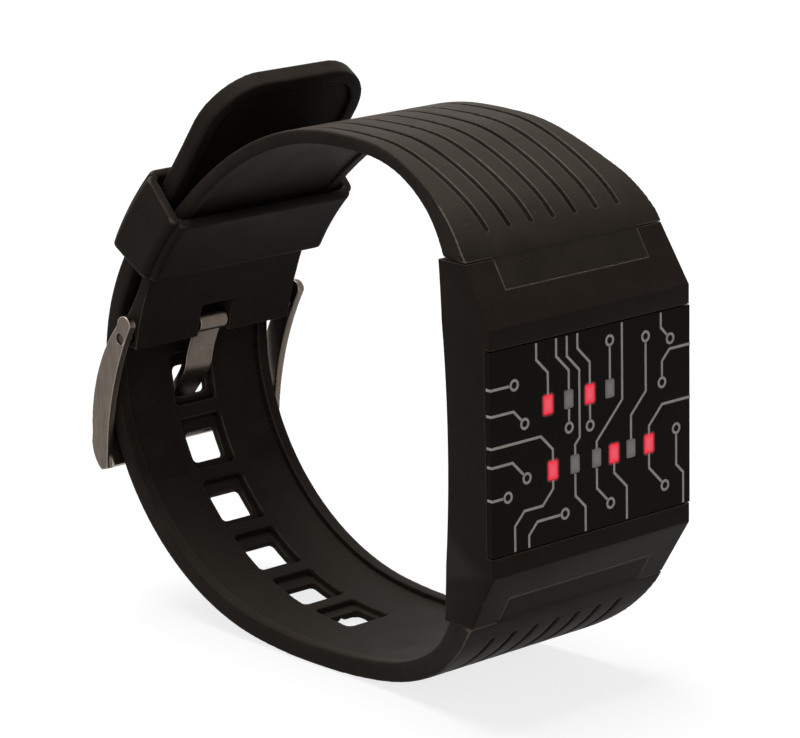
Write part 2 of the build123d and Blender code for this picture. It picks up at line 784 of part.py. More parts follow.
with BuildPart() as back_screws:
    with BuildSketch(across(screw_seat)):
        with GridLocations(boss_spacing_x, boss_spacing_z, 2, 2):
            Circle(screw_head_radius)
    extrude(amount=screw_head_height)
    with BuildSketch(across(screw_seat)):
        with GridLocations(boss_spacing_x, boss_spacing_z, 2, 2):
            Circle(screw_radius)
    extrude(amount=-screw_length)
    with BuildSketch(across(screw_seat + screw_head_height)):
        with GridLocations(boss_spacing_x, boss_spacing_z, 2, 2):
            Rectangle(2 * screw_head_radius, screw_slot_width)
    extrude(amount=-screw_slot_depth, mode=Mode.SUBTRACT)
back_screws.part.label = "back_screws"
export_step(back_screws.part, "parts/back_screws.step")

# The pins that hold the strap's tongues in the case
with BuildPart() as strap_pins:
    with BuildSketch(Plane.YZ):
        with Locations((pin_depth_place, pin_height), (pin_depth_place, -pin_height)):
            Circle(pin_radius)
    extrude(amount=pin_length / 2, both=True)
strap_pins.part.label = "strap_pins"
export_step(strap_pins.part, "parts/strap_pins.step")

# Each push button slides in the case's wall against its spring and stops at its clip
for button_name, button_place in zip(("upper", "lower"), button_places):
    with BuildPart() as button:
        with BuildSketch(sideways(button_face + button_stand)):
            with Locations(button_place):
                Circle(button_radius)
        extrude(amount=-button_cap_length)
        cap_rim = button.edges().filter_by(GeomType.CIRCLE).sort_by(Axis.X)[-1]
        fillet(cap_rim, button_edge_radius)
        with BuildSketch(sideways(button_face + button_stand - button_cap_length)):
            with Locations(button_place):
                Circle(button_shaft_radius)
        extrude(amount=-(button_face + button_stand - button_cap_length - shaft_end))
    button.part.label = "button_" + button_name
    export_step(button.part, "parts/button_" + button_name + ".step")
    with BuildPart() as button_clip:
        with BuildSketch(sideways(cavity_half_width - shaft_gap)):
            with Locations(button_place):
                Circle(button_clip_radius)
                Circle(button_shaft_radius, mode=Mode.SUBTRACT)
        extrude(amount=-button_clip_thickness)
    button_clip.part.label = "button_clip_" + button_name
    export_step(button_clip.part, "parts/button_clip_" + button_name + ".step")
    with BuildPart() as button_spring:
        with BuildSketch(sideways(button_well + shaft_gap)):
            with Locations(button_place):
                Circle(button_shaft_radius + slip_gap + spring_wall)
                Circle(button_shaft_radius + slip_gap, mode=Mode.SUBTRACT)
        extrude(amount=spring_length)
    button_spring.part.label = "button_spring_" + button_name
    export_step(button_spring.part, "parts/button_spring_" + button_name + ".step")
    with BuildPart() as switch:
        with BuildSketch(across(board_back)):
            with Locations((-switch_middle, button_place[1])):
                Rectangle(switch_length, switch_height)
        extrude(amount=switch_thickness)
        with BuildSketch(sideways(switch_middle + switch_length / 2)):
            with Locations(button_place):
                Circle(switch_plunger_radius)
        extrude(amount=switch_plunger_length)
    switch.part.label = "switch_" + button_name
    export_step(switch.part, "parts/switch_" + button_name + ".step")

with BuildPart() as button_seals:
    with BuildSketch(sideways(seal_place)):
        with Locations(*button_places):
            Circle(button_seal_radius)
            Circle(button_shaft_radius + shaft_gap, mode=Mode.SUBTRACT)
    extrude(amount=button_seal_length)
button_seals.part.label = "button_seals"
export_step(button_seals.part, "parts/button_seals.step")

# The buckle's bar runs through the end of the upper strap and into the frame's two arms
arm_inside = strap_width / 2 + arm_gap
arm_outside = arm_inside + arm_thickness
with BuildPart() as buckle_bar:
    with BuildSketch(Plane.YZ):
        with Locations((bar_y, bar_z)):
            Circle(bar_radius)
    extrude(amount=arm_outside - bar_inset, both=True)
buckle_bar.part.label = "buckle_bar"
export_step(buckle_bar.part, "parts/buckle_bar.step")

# The frame: two curved arms side by side, and the front bar between their feet
bar_low = front_bar_place - front_bar_height / 2
bar_high = front_bar_place + front_bar_height / 2
bar_inside = lower_thickness + soft_gap
bar_outside = bar_inside + front_bar_thickness
foot_y, foot_z = lower_point(arm_foot_place, bar_outside)
arm_length = math.dist((bar_y, bar_z), (foot_y, foot_z))
arm_along = ((foot_y - bar_y) / arm_length, (foot_z - bar_z) / arm_length)


def arm_point(share):
    """A point of the arm's outline from its shares of the arm's length and width."""
    along, out = share[0] * arm_length, share[1] * arm_width
    return bar_y + along * arm_along[0] - out * arm_along[1], bar_z + along * arm_along[1] + out * arm_along[0]


def bar_view(low, high):
    """The front bar's side view, between two distances along the lower strap."""
    middle = (low + high) / 2
    with BuildSketch(Plane.YZ) as side_view:
        with BuildLine():
            ThreePointArc(*[lower_point(d, bar_inside) for d in (low, middle, high)])
            Line(lower_point(high, bar_inside), lower_point(high, bar_outside))
            ThreePointArc(*[lower_point(d, bar_outside) for d in (high, middle, low)])
            Line(lower_point(low, bar_outside), lower_point(low, bar_inside))
        make_face()
    return side_view.sketch


with BuildPart() as buckle_frame:
    with BuildSketch(Plane.YZ):
        with BuildLine():
            eye_in, eye_top, eye_out, back_high, back_low, heel, foot_out, foot_in, waist = [
                arm_point(share) for share in arm_shares
            ]
            ThreePointArc(eye_in, eye_top, eye_out)
            ThreePointArc(eye_out, back_high, back_low)
            ThreePointArc(back_low, heel, foot_out)
            Line(foot_out, foot_in)
            ThreePointArc(foot_in, waist, eye_in)
        make_face()
    extrude(amount=arm_outside, both=True)
    with BuildSketch(sideways(0)):
        with Locations(((bar_y + foot_y) / 2, (bar_z + foot_z) / 2)):
            Rectangle(2 * arm_length, 2 * arm_length)
    extrude(amount=arm_inside, both=True, mode=Mode.SUBTRACT)
    extrude(bar_view(bar_low - foot_width / 2, bar_high), amount=arm_outside - arm_thickness / 2, both=True)
    with BuildSketch(sideways(0)):
        with BuildLine():
            Polyline(
                lower_point(bar_low, 0.0),
                lower_point(bar_low, bar_outside + bar_inside),
                lower_point(bar_low - 2 * foot_width, bar_outside + bar_inside),
                lower_point(bar_low - 2 * foot_width, 0.0),
                close=True,
            )
        make_face()
    extrude(amount=arm_inside - foot_width, both=True, mode=Mode.SUBTRACT)
    with BuildSketch(Plane.YZ):
        with Locations((bar_y, bar_z)):
            Circle(bar_radius + shaft_gap)
    extrude(amount=case_width, both=True, mode=Mode.SUBTRACT)
buckle_frame.part.label = "buckle_frame"
export_step(buckle_frame.part, "parts/buckle_frame.step")

# The tang: a sleeve on the bar and a tongue that goes out through the hole and over the front bar
tang_over = bar_outside + slip_gap + tang_thickness / 2
tang_marks = []
for share in tang_shares:
    tang_marks.append((hole_first + share[0] * hole_length, share[1] * lower_thickness, share[2]))
tang_marks += [(bar_high, tang_over, 0), (bar_low + tang_thickness, tang_over, 0)]
tang_stations = []
for mark_place, mark_height, mark_turn in tang_marks:
    mark_y, mark_z = lower_point(mark_place, mark_height)
    tang_stations.append((mark_y, mark_z, place(lower_inner, mark_place)[2] + 180 + mark_turn))
first_y, first_z, first_heading = tang_stations[0]
sleeve_heading = math.degrees(math.atan2(first_z - bar_z, first_y - bar_y))
tang_route = join([(bar_y, bar_z, 2 * sleeve_heading - first_heading)] + tang_stations)
with BuildPart() as buckle_tang:
    with BuildSketch(Plane.YZ):
        with BuildLine():
            tang_start = place(tang_route, 0.0)
            near_face = join([stand_off(s, -tang_thickness / 2, 1) for s in [tang_start] + tang_stations])
            far_face = join([stand_off(s, tang_thickness / 2, 1) for s in [tang_start] + tang_stations])
            draw(near_face, 0.0, route_length(near_face))
            draw(far_face, 0.0, route_length(far_face))
            Line(place(near_face, 0.0)[:2], place(far_face, 0.0)[:2])
            Line(place(near_face, route_length(near_face))[:2], place(far_face, route_length(far_face))[:2])
        make_face()
        with Locations((bar_y, bar_z)):
            Circle(sleeve_radius)
    extrude(amount=tang_width / 2, both=True)
    with BuildSketch(Plane.YZ):
        with Locations((bar_y, bar_z)):
            Circle(bar_radius + shaft_gap)
    extrude(amount=tang_width, both=True, mode=Mode.SUBTRACT)
buckle_tang.part.label = "buckle_tang"
export_step(buckle_tang.part, "parts/buckle_tang.step")

# The keeper: a rubber loop round both straps, curved as the upper strap is there
keeper_first = keeper_place - keeper_length / 2
keeper_last = keeper_place + keeper_length / 2
keeper_marks = [place(upper_inner, d) for d in (keeper_first, keeper_place, keeper_last)]
keeper_inside = -keeper_gap
keeper_outside = upper_thickness + layer_gap + lower_thickness + keeper_slack


def keeper_view(low, high):
    """The keeper's side view between two heights over the upper strap's inner face."""
    with BuildSketch(Plane.YZ) as side_view:
        with BuildLine():
            low_points = [stand_off(mark, low, 1)[:2] for mark in keeper_marks]
            high_points = [stand_off(mark, high, 1)[:2] for mark in keeper_marks]
            ThreePointArc(*low_points)
            Line(low_points[2], high_points[2])
            ThreePointArc(*reversed(high_points))
            Line(high_points[0], low_points[0])
        make_face()
    return side_view.sketch


with BuildPart() as keeper:
    keeper_half = strap_width / 2 + keeper_side_gap
    extrude(
        keeper_view(keeper_inside - keeper_wall, keeper_outside + keeper_wall),
        amount=keeper_half + keeper_wall,
        both=True,
    )
    corner_edges = keeper.edges().filter_by(GeomType.CIRCLE)
    fillet(corner_edges, keeper_corner_radius)
    end_faces = keeper.faces().filter_by(GeomType.PLANE).filter_by(lambda face: abs(face.center().X) < slip_gap)
    fillet(end_faces.edges(), keeper_edge_radius)
    extrude(keeper_view(keeper_inside, keeper_outside), amount=keeper_half, both=True, mode=Mode.SUBTRACT)
keeper.part.label = "keeper"
export_step(keeper.part, "parts/keeper.step")

print("tip corners", len(tip_edges))
print("bar", bar_y, bar_z, "strap lengths", upper_length, lower_length)
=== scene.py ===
# %% [markdown]
# A binary wristwatch stands on its buckled rubber strap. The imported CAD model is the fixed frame:
# it gives every place and size, in metres, with the middle of the display's face at the origin.
# The display faces -Y, Z points to 12 o'clock, and X runs to the 3 o'clock side.

# %% Load the frame and keep its box
import bpy
import bmesh
import json
import math
import numpy as np
from mathutils import Matrix, Vector

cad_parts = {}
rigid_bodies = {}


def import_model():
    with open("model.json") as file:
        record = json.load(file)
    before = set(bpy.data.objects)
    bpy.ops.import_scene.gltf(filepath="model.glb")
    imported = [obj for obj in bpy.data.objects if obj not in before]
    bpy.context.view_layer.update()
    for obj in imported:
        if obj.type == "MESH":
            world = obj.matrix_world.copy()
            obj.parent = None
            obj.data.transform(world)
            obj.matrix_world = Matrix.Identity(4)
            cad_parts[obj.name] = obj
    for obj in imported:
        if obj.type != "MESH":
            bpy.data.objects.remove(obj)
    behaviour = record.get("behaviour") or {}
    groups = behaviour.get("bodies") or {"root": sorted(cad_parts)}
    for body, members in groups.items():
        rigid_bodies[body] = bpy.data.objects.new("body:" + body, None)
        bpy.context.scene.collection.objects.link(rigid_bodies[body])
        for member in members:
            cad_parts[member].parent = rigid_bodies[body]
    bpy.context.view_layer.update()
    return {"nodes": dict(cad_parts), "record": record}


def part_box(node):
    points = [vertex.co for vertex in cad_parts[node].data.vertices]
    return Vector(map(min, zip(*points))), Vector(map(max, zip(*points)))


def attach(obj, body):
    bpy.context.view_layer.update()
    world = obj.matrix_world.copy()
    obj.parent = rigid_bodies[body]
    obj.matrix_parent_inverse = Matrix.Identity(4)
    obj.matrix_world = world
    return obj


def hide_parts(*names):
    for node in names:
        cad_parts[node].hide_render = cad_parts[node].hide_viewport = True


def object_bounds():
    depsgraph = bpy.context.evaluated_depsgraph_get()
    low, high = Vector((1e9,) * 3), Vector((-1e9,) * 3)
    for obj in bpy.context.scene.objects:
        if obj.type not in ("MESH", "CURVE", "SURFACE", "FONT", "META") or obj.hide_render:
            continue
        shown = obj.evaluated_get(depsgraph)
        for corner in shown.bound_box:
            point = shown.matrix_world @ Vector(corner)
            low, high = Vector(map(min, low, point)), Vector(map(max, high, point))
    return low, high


for left_over in list(bpy.data.objects):
    bpy.data.objects.remove(left_over)
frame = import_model()
MM = 0.001

# %% [markdown]
# The camera was fitted to the photograph's corners of the case and panel. It stands half a metre
# off with a long lens, so the watch shows hardly any perspective. Three angles say how it turns,
# and three lengths say where the origin lies before it.

# %% The camera
TURN, RISE, ROLL = -0.7287, 0.2497, -0.0215
ACROSS_MM, UP_MM, AWAY_MM = 26.2243, -8.228, 485.1771
FOCAL_PX, FRAME_PX, SENSOR_MM = 3577.821, 800, 36.0
back = Vector((math.sin(TURN) * math.cos(RISE), -math.cos(TURN) * math.cos(RISE), math.sin(RISE)))
level = Vector((math.cos(TURN), math.sin(TURN), 0.0))
upright = back.cross(level)
right = math.cos(ROLL) * level + math.sin(ROLL) * upright
top = -math.sin(ROLL) * level + math.cos(ROLL) * upright
lens = bpy.data.cameras.new("camera")
lens.sensor_width = SENSOR_MM
lens.lens = SENSOR_MM * FOCAL_PX / FRAME_PX
lens.clip_start = 0.01
camera = bpy.data.objects.new("camera", lens)
bpy.context.scene.collection.objects.link(camera)
stand = (-ACROSS_MM * right - UP_MM * top + AWAY_MM * back) * MM
camera.matrix_world = Matrix.Translation(stand) @ Matrix((right, top, back)).transposed().to_4x4()
bpy.context.scene.camera = camera
print("camera lens", round(lens.lens, 1), "mm at", [round(v, 3) for v in stand])


# %% [markdown]
# Every material is a small tree of nodes. One function adds a node with its own settings and joins
# its inputs, and another turns a colour written as sRGB hex into the linear values that the
# renderer uses. A pattern's size is given in millimetres of the real surface.

# %% The node and colour helpers
def linear(hex_colour):
    """An sRGB hex colour as linear red, green, blue and an alpha of 1."""
    value = np.array([int(hex_colour[i:i + 2], 16) / 255 for i in (1, 3, 5)])
    value = np.where(value <= 0.04045, value / 12.92, ((value + 0.055) / 1.055) ** 2.4)
    return (*value.tolist(), 1.0)


def add(tree, kind, inputs=None, **settings):
    """Add a node: settings are its own properties, and inputs gives sockets a value or a link."""
    new = tree.nodes.new(kind)
    for name, value in settings.items():
        setattr(new, name, value)
    for socket, value in (inputs or {}).items():
        if isinstance(value, bpy.types.NodeSocket):
            tree.links.new(value, new.inputs[socket])
        else:
            new.inputs[socket].default_value = value
    return new


def start_material(name):
    """A new material with its tree, its shader and the object's own coordinates."""
    material = bpy.data.materials.new(name)
    material.use_nodes = True
    tree = material.node_tree
    tree.nodes.clear()
    shader = add(tree, "ShaderNodeBsdfPrincipled")
    add(tree, "ShaderNodeOutputMaterial", {"Surface": shader.outputs["BSDF"]})
    place = add(tree, "ShaderNodeTexCoord").outputs["Object"]
    return material, tree, shader, place


def set_shader(shader, **values):
    """Set constants on the shader's own sockets, with underscores for spaces in their names."""
    for name, value in values.items():
        shader.inputs[name.replace("_", " ")].default_value = value


print("white in linear values", linear("#ffffff"))


# %% [markdown]
# Used rubber and plastic aren't one colour. Specks of dust stick to them. Edges are pale, partly
# from wear and partly as a painted highlight, and the foot of a groove is darker as painted shade.
# The case finds its edges in the shader, where a Bevel node's normal turns away from the plain one.
# The softened pieces, made further down, carry two marks on their vertices instead: crease, positive
# on a lip and negative in a foot, and inward, which is 1 where the surface faces the wrist and -1
# where it faces out.

# %% Edges pale with wear and painted highlight
# Pale edges: partly wear, partly a painted highlight.
WEAR_AND_HIGHLIGHT_MM, WEAR_AND_HIGHLIGHT_MOST = 0.3, 0.6
ALIKE_AT_FLAT, ALIKE_AT_EDGE = 0.985, 0.9
LIP, WRIST_SIDE = (0.05, 0.1), (0.2, 0.8)


def by_mark(tree, mark, span, values):
    """A value that goes from one number to another while the piece's own mark crosses a span."""
    read = add(tree, "ShaderNodeAttribute", attribute_name=mark)
    ranged = add(tree, "ShaderNodeMapRange", {"Value": read.outputs["Fac"], "From Min": span[0],
                                              "From Max": span[1], "To Min": values[0], "To Max": values[1]})
    return ranged.outputs["Result"]


def edge_by_bevel(tree):
    """The share of pale colour at an edge, partly wear and partly a painted highlight: where the
    normal, averaged over a small radius, turns away from the plain one."""
    rounded_normal = add(tree, "ShaderNodeBevel", {"Radius": WEAR_AND_HIGHLIGHT_MM * MM}, samples=6)
    plain_normal = add(tree, "ShaderNodeNewGeometry")
    alike = add(tree, "ShaderNodeVectorMath", {0: rounded_normal.outputs["Normal"],
                                               1: plain_normal.outputs["Normal"]}, operation="DOT_PRODUCT")
    wear_and_highlight_share = add(tree, "ShaderNodeMapRange", {"Value": alike.outputs["Value"], "From Min": ALIKE_AT_FLAT,
                                              "From Max": ALIKE_AT_EDGE, "To Max": WEAR_AND_HIGHLIGHT_MOST})
    return wear_and_highlight_share.outputs["Result"]


def edge_by_crease(tree):
    """The share of pale colour at an edge, partly wear and partly a painted highlight, from the piece's
    crease mark. On the inner side it is about a third, so that side stays darker as painted shade."""
    both = {0: by_mark(tree, "crease", LIP, (0.0, WEAR_AND_HIGHLIGHT_MOST)),
            1: by_mark(tree, "inward", WRIST_SIDE, (1.0, 0.35))}
    return add(tree, "ShaderNodeMath", both, operation="MULTIPLY").outputs["Value"]


print("wear round edges of", WEAR_AND_HIGHLIGHT_MM, "mm takes up to", WEAR_AND_HIGHLIGHT_MOST, "of the worn colour")

# %% [markdown]
# The strap is toned by place with painted light and shade. Its broad faces are lighter where they
# face up, as painted light from above. Its inner side is darker, and so is the foot of a groove, as
# painted shade. A pattern in space alone can't know which side of the strap it lies on, so the way
# the surface faces and the two marks place these tones.

# %% The strap's painted light and shade
FOOT, OUTER_FACE, INNER_FACE = (-0.02, -0.1), (-0.85, -0.6), (0.6, 0.85)
FACES_UP, PAINTED_TOP_LIGHT_MOST = (0.55, 0.95), 0.12


def strap_tone(tree, tone, wear_and_highlight):
    """The strap's colour by place: painted light lightens its broad faces where they face up, painted
    shade darkens the foot of a groove, and the inner side is darker, also as painted shade."""
    faces = add(tree, "ShaderNodeSeparateXYZ", {0: add(tree, "ShaderNodeNewGeometry").outputs["Normal"]})
    # Painted light: broad faces that face up take some of the pale colour, as if lit from above.
    painted_top_light = add(tree, "ShaderNodeMapRange", {"Value": faces.outputs["Z"], "From Min": FACES_UP[0],
                                             "From Max": FACES_UP[1], "To Max": PAINTED_TOP_LIGHT_MOST})
    broad = add(tree, "ShaderNodeMath", {0: by_mark(tree, "inward", OUTER_FACE, (1.0, 0.0)),
                                         1: by_mark(tree, "inward", INNER_FACE, (0.0, 1.0))},
                operation="MAXIMUM")
    painted_top_light_share = add(tree, "ShaderNodeMath", {0: painted_top_light.outputs["Result"], 1: broad.outputs["Value"]},
                  operation="MULTIPLY")
    tone = add(tree, "ShaderNodeMix", {"Factor": painted_top_light_share.outputs["Value"], 6: tone, 7: linear(wear_and_highlight)},
               data_type="RGBA").outputs[2]
    # Painted shade: the foot of a groove is darkened.
    painted_groove_shade = by_mark(tree, "crease", FOOT, (1.0, 0.3))
    # Painted shade: the side facing the wrist is darkened.
    painted_inner_shade = by_mark(tree, "inward", WRIST_SIDE, (1.0, 0.8))
    for darker in (painted_groove_shade, painted_inner_shade):
        scaled = add(tree, "ShaderNodeVectorMath", {0: tone, "Scale": darker}, operation="SCALE")
        tone = scaled.outputs["Vector"]
    return tone


# The share of the pale colour that upward faces take as painted light.
print("dust takes up to", PAINTED_TOP_LIGHT_MOST, "of the worn colour on what faces up")


# %% [markdown]
# Moulded rubber and plastic copy the skin of a spark-eroded mould: a fine even grain that scatters
# the light, broad faint clouds where the surface has been handled, and no two places equally dull.
# Two noises, one fine and one broad, give the grain, the clouds and the roughness.

# %% A moulded finish
MIDDLE_OF_NOISE, SPECK_SHARES = (0.3, 0.7), (0.88, 1.12)
DUST_MM, SPECK_EDGE, SPECK_HEART, SPECK_MOST = 1.5, 0.07, 0.03, 0.3


def moulded(name, dark, light, grain_mm, cloud_mm, rough, bump_mm, wear_and_highlight=None, marked=False, **constants):
    """A finish whose colour goes from dark to light by cloud, and whose bump is a fine grain. Where
    a pale colour is given, specks of dust take some of it, and so do edges, partly as wear and partly
    as a painted highlight. A marked finish is for the softened pieces, whose marks say where the edges
    and feet are, and it takes the strap's painted light and shade."""
    low, high = MIDDLE_OF_NOISE
    material, tree, shader, place = start_material(name)
    cloud = add(tree, "ShaderNodeTexNoise", {"Vector": place, "Scale": 1 / (cloud_mm * MM), "Detail": 4.0})
    grain = add(tree, "ShaderNodeTexNoise", {"Vector": place, "Scale": 1 / (grain_mm * MM), "Detail": 3.0})
    colour = add(tree, "ShaderNodeValToRGB", {"Fac": cloud.outputs["Fac"]})
    for stop, place_on_ramp, shade in zip(colour.color_ramp.elements, (low, high), (dark, light)):
        stop.position = place_on_ramp
        stop.color = linear(shade)
    speck = add(tree, "ShaderNodeMapRange", {"Value": grain.outputs["Fac"], "From Min": low, "From Max": high,
                                             "To Min": SPECK_SHARES[0], "To Max": SPECK_SHARES[1]})
    tinted = add(tree, "ShaderNodeVectorMath", {0: colour.outputs["Color"], "Scale": speck.outputs["Result"]},
                 operation="SCALE")
    dull = add(tree, "ShaderNodeMapRange", {"Value": cloud.outputs["Fac"], "From Min": low, "From Max": high,
                                            "To Min": rough[0], "To Max": rough[1]})
    bump = add(tree, "ShaderNodeBump", {"Height": grain.outputs["Fac"], "Distance": bump_mm * MM,
                                        "Strength": 0.6})
    tone = tinted.outputs["Vector"]
    if marked:
        tone = strap_tone(tree, tone, wear_and_highlight)
    # Edges take the pale colour partly as wear and partly as a painted highlight; the specks are dust.
    if wear_and_highlight:
        wear_and_highlight_share = edge_by_crease(tree) if marked else edge_by_bevel(tree)
        dust = add(tree, "ShaderNodeTexVoronoi", {"Vector": place, "Scale": 1 / (DUST_MM * MM)})
        speckled = add(tree, "ShaderNodeMapRange", {"Value": dust.outputs["Distance"], "From Min": SPECK_EDGE,
                                                    "From Max": SPECK_HEART, "To Max": SPECK_MOST})
        pale = add(tree, "ShaderNodeMath", {0: wear_and_highlight_share, 1: speckled.outputs["Result"]}, operation="MAXIMUM")
        tone = add(tree, "ShaderNodeMix", {"Factor": pale.outputs["Value"], 6: tone, 7: linear(wear_and_highlight)},
                   data_type="RGBA").outputs[2]
    tree.links.new(tone, shader.inputs["Base Color"])
    tree.links.new(dull.outputs["Result"], shader.inputs["Roughness"])
    tree.links.new(bump.outputs["Normal"], shader.inputs["Normal"])
    set_shader(shader, **constants)
    print("finish", name, "grain", grain_mm, "mm")
    return material


print("grain tints a finish by", SPECK_SHARES, "and dust specks lie every", DUST_MM, "mm")

# %% [markdown]
# Each moulded, printed or cast material in the watch has a finish with its own colour, grain, gloss
# and refraction.

# %% The moulded finishes
finishes = {
    # Injection-moulded polyurethane rubber: warm near-black and dull
    # Its pale colour goes on edges, partly as wear and partly as a painted highlight, and on upward faces as
    # painted light.
    "strap_rubber": moulded("moulded_polyurethane_rubber", "#2a2520", "#332d28", 0.22, 5.0, (0.44, 0.56),
                            0.02, wear_and_highlight="#857b70", marked=True, Specular_IOR_Level=0.02, IOR=1.5),
    # ABS with a finer spark-eroded skin than the strap's, a little smoother
    # Its pale colour goes on its edges, partly as wear and partly as a painted highlight.
    "case_plastic": moulded("moulded_abs_case", "#231d18", "#2a231e", 0.16, 6.0, (0.38, 0.48), 0.012,
                            wear_and_highlight="#63544a", Specular_IOR_Level=0.025, IOR=1.53),
    # Smooth black polycarbonate film: darker than the case, and satin
    "panel_film": moulded("black_polycarbonate_film", "#110f0c", "#15120f", 0.5, 12.0, (0.24, 0.33), 0.002,
                          Specular_IOR_Level=0.025, IOR=1.58),
    # Screen-printed grey ink: thin, flat, a little uneven
    "track_ink": moulded("screen_printed_grey_ink", "#bcb5ae", "#cbc4bd", 0.3, 1.5, (0.5, 0.65), 0.004,
                         Specular_IOR_Level=0.2, IOR=1.5),
    # A torn hair of the strap's rubber: patchy, from the strap's own tone to pale, the pale a painted
    # highlight
    "flash_rubber": moulded("thin_rubber_flash", "#2a2521", "#857c73", 0.3, 1.4, (0.4, 0.5), 0.004,
                            Specular_IOR_Level=0.2, IOR=1.5),
    "button_plastic": moulded("moulded_abs_button", "#211a15", "#2b231c", 0.18, 3.0, (0.38, 0.48), 0.01,
                              Specular_IOR_Level=0.03, IOR=1.53),
    # The inner parts, seen only when the case is open
    "black_mask": moulded("matte_black_polycarbonate", "#0a0a0a", "#111111", 0.2, 3.0, (0.6, 0.75), 0.01,
                          IOR=1.58),
    "adhesive_foam": moulded("white_foam_tape", "#b9b5ab", "#cfcbc1", 0.12, 1.0, (0.7, 0.85), 0.03, IOR=1.45),
    "seal_rubber": moulded("silicone_seal", "#141212", "#1d1b1a", 0.15, 1.5, (0.5, 0.65), 0.01, IOR=1.41),
    "epoxy_body": moulded("epoxy_moulding_compound", "#121213", "#1c1c1e", 0.1, 1.0, (0.55, 0.7), 0.01,
                          IOR=1.55),
    "resistor_body": moulded("thick_film_resistor", "#1a1c22", "#2a2622", 0.1, 0.5, (0.4, 0.6), 0.005,
                             IOR=1.6),
    "holder_nylon": moulded("moulded_black_nylon", "#161616", "#222121", 0.2, 2.0, (0.45, 0.6), 0.01,
                            IOR=1.53),
    "lamp_resin": moulded("red_epoxy_lamp", "#a51f24", "#c8303a", 0.4, 0.8, (0.15, 0.25), 0.001, IOR=1.54),
    "board_mask": moulded("green_solder_mask", "#0d3a20", "#14502c", 0.8, 2.5, (0.25, 0.38), 0.006, IOR=1.52),
}
print("moulded finishes", len(finishes))

# %% [markdown]
# The buckle is stamped stainless steel with a satin finish: a belt drew fine lines along it, which
# spread each highlight across them. Lines are a noise squeezed along one axis. The metal's colour is
# set far darker and warmer than steel's own, so that what it reflects of the white surroundings
# comes out dim: painted shade. Its edges are painted pale as painted highlights.

# %% The metal finishes
STRETCH, STAIN_MM, STAIN_SHARE = 40, 3.0, 0.3


def brushed(name, dark, light, along, line_mm, rough, bump_mm, wear_and_highlight=None):
    """A metal with fine lines along one axis: a noise that is stretched 40 times that way. Where a
    pale edge colour is given, the edges take it as a painted highlight."""
    material, tree, shader, place = start_material(name)
    stretch = [1 / (line_mm * MM)] * 3
    stretch["xyz".index(along)] /= STRETCH
    lines_place = add(tree, "ShaderNodeMapping", {"Vector": place, "Scale": stretch})
    lines = add(tree, "ShaderNodeTexNoise", {"Vector": lines_place.outputs["Vector"], "Scale": 1.0,
                                             "Detail": 3.0})
    stain = add(tree, "ShaderNodeTexNoise", {"Vector": place, "Scale": 1 / (STAIN_MM * MM), "Detail": 3.0})
    both = add(tree, "ShaderNodeMix", {"Factor": STAIN_SHARE, 2: lines.outputs["Fac"],
                                       3: stain.outputs["Fac"]})
    colour = add(tree, "ShaderNodeValToRGB", {"Fac": both.outputs[0]})
    for stop, place_on_ramp, shade in zip(colour.color_ramp.elements, (0.35, 0.65), (dark, light)):
        stop.position = place_on_ramp
        stop.color = linear(shade)
    low, high = MIDDLE_OF_NOISE
    dull = add(tree, "ShaderNodeMapRange", {"Value": lines.outputs["Fac"], "From Min": low, "From Max": high,
                                            "To Min": rough[0], "To Max": rough[1]})
    bump = add(tree, "ShaderNodeBump", {"Height": lines.outputs["Fac"], "Distance": bump_mm * MM,
                                        "Strength": 0.5})
    tone = colour.outputs["Color"]
    if wear_and_highlight:
        tone = add(tree, "ShaderNodeMix", {"Factor": edge_by_crease(tree), 6: tone, 7: linear(wear_and_highlight)},
                   data_type="RGBA").outputs[2]
    tree.links.new(tone, shader.inputs["Base Color"])
    tree.links.new(dull.outputs["Result"], shader.inputs["Roughness"])
    tree.links.new(bump.outputs["Normal"], shader.inputs["Normal"])
    set_shader(shader, Metallic=1.0)
    print("metal", name, "lines", line_mm, "mm along", along)
    return material


finishes |= {
    # Much darker than steel's own colour, so its reflections come out dim: painted shade. Its pale colour
    # goes on its edges as a painted highlight.
    "buckle_steel": brushed("satin_stainless_buckle", "#564d45", "#6e645b", "z", 0.12, (0.28, 0.4), 0.006,
                            wear_and_highlight="#c9beb2"),
    # Darker still: the bar's end in the buckle's eye stands in for the shade there, as painted shade, and the
    # screws and pins share it.
    "bar_steel": brushed("turned_stainless_bar", "#2c2824", "#433d38", "x", 0.1, (0.22, 0.34), 0.003),
    "cover_steel": brushed("brushed_stainless_cover", "#8c8984", "#a5a19b", "x", 0.14, (0.28, 0.42), 0.006),
    "spring_steel": brushed("spring_steel", "#8f8c84", "#a9a59c", "x", 0.08, (0.2, 0.35), 0.002),
    "can_aluminium": brushed("drawn_aluminium_can", "#b5b5b2", "#c9c8c4", "x", 0.1, (0.25, 0.4), 0.002),
}

# %% [markdown]
# A CAD node keeps its own mesh and takes its finish in its material slot. The light guides aren't
# in the list, because the windows further down stand in for them with finishes of their own.

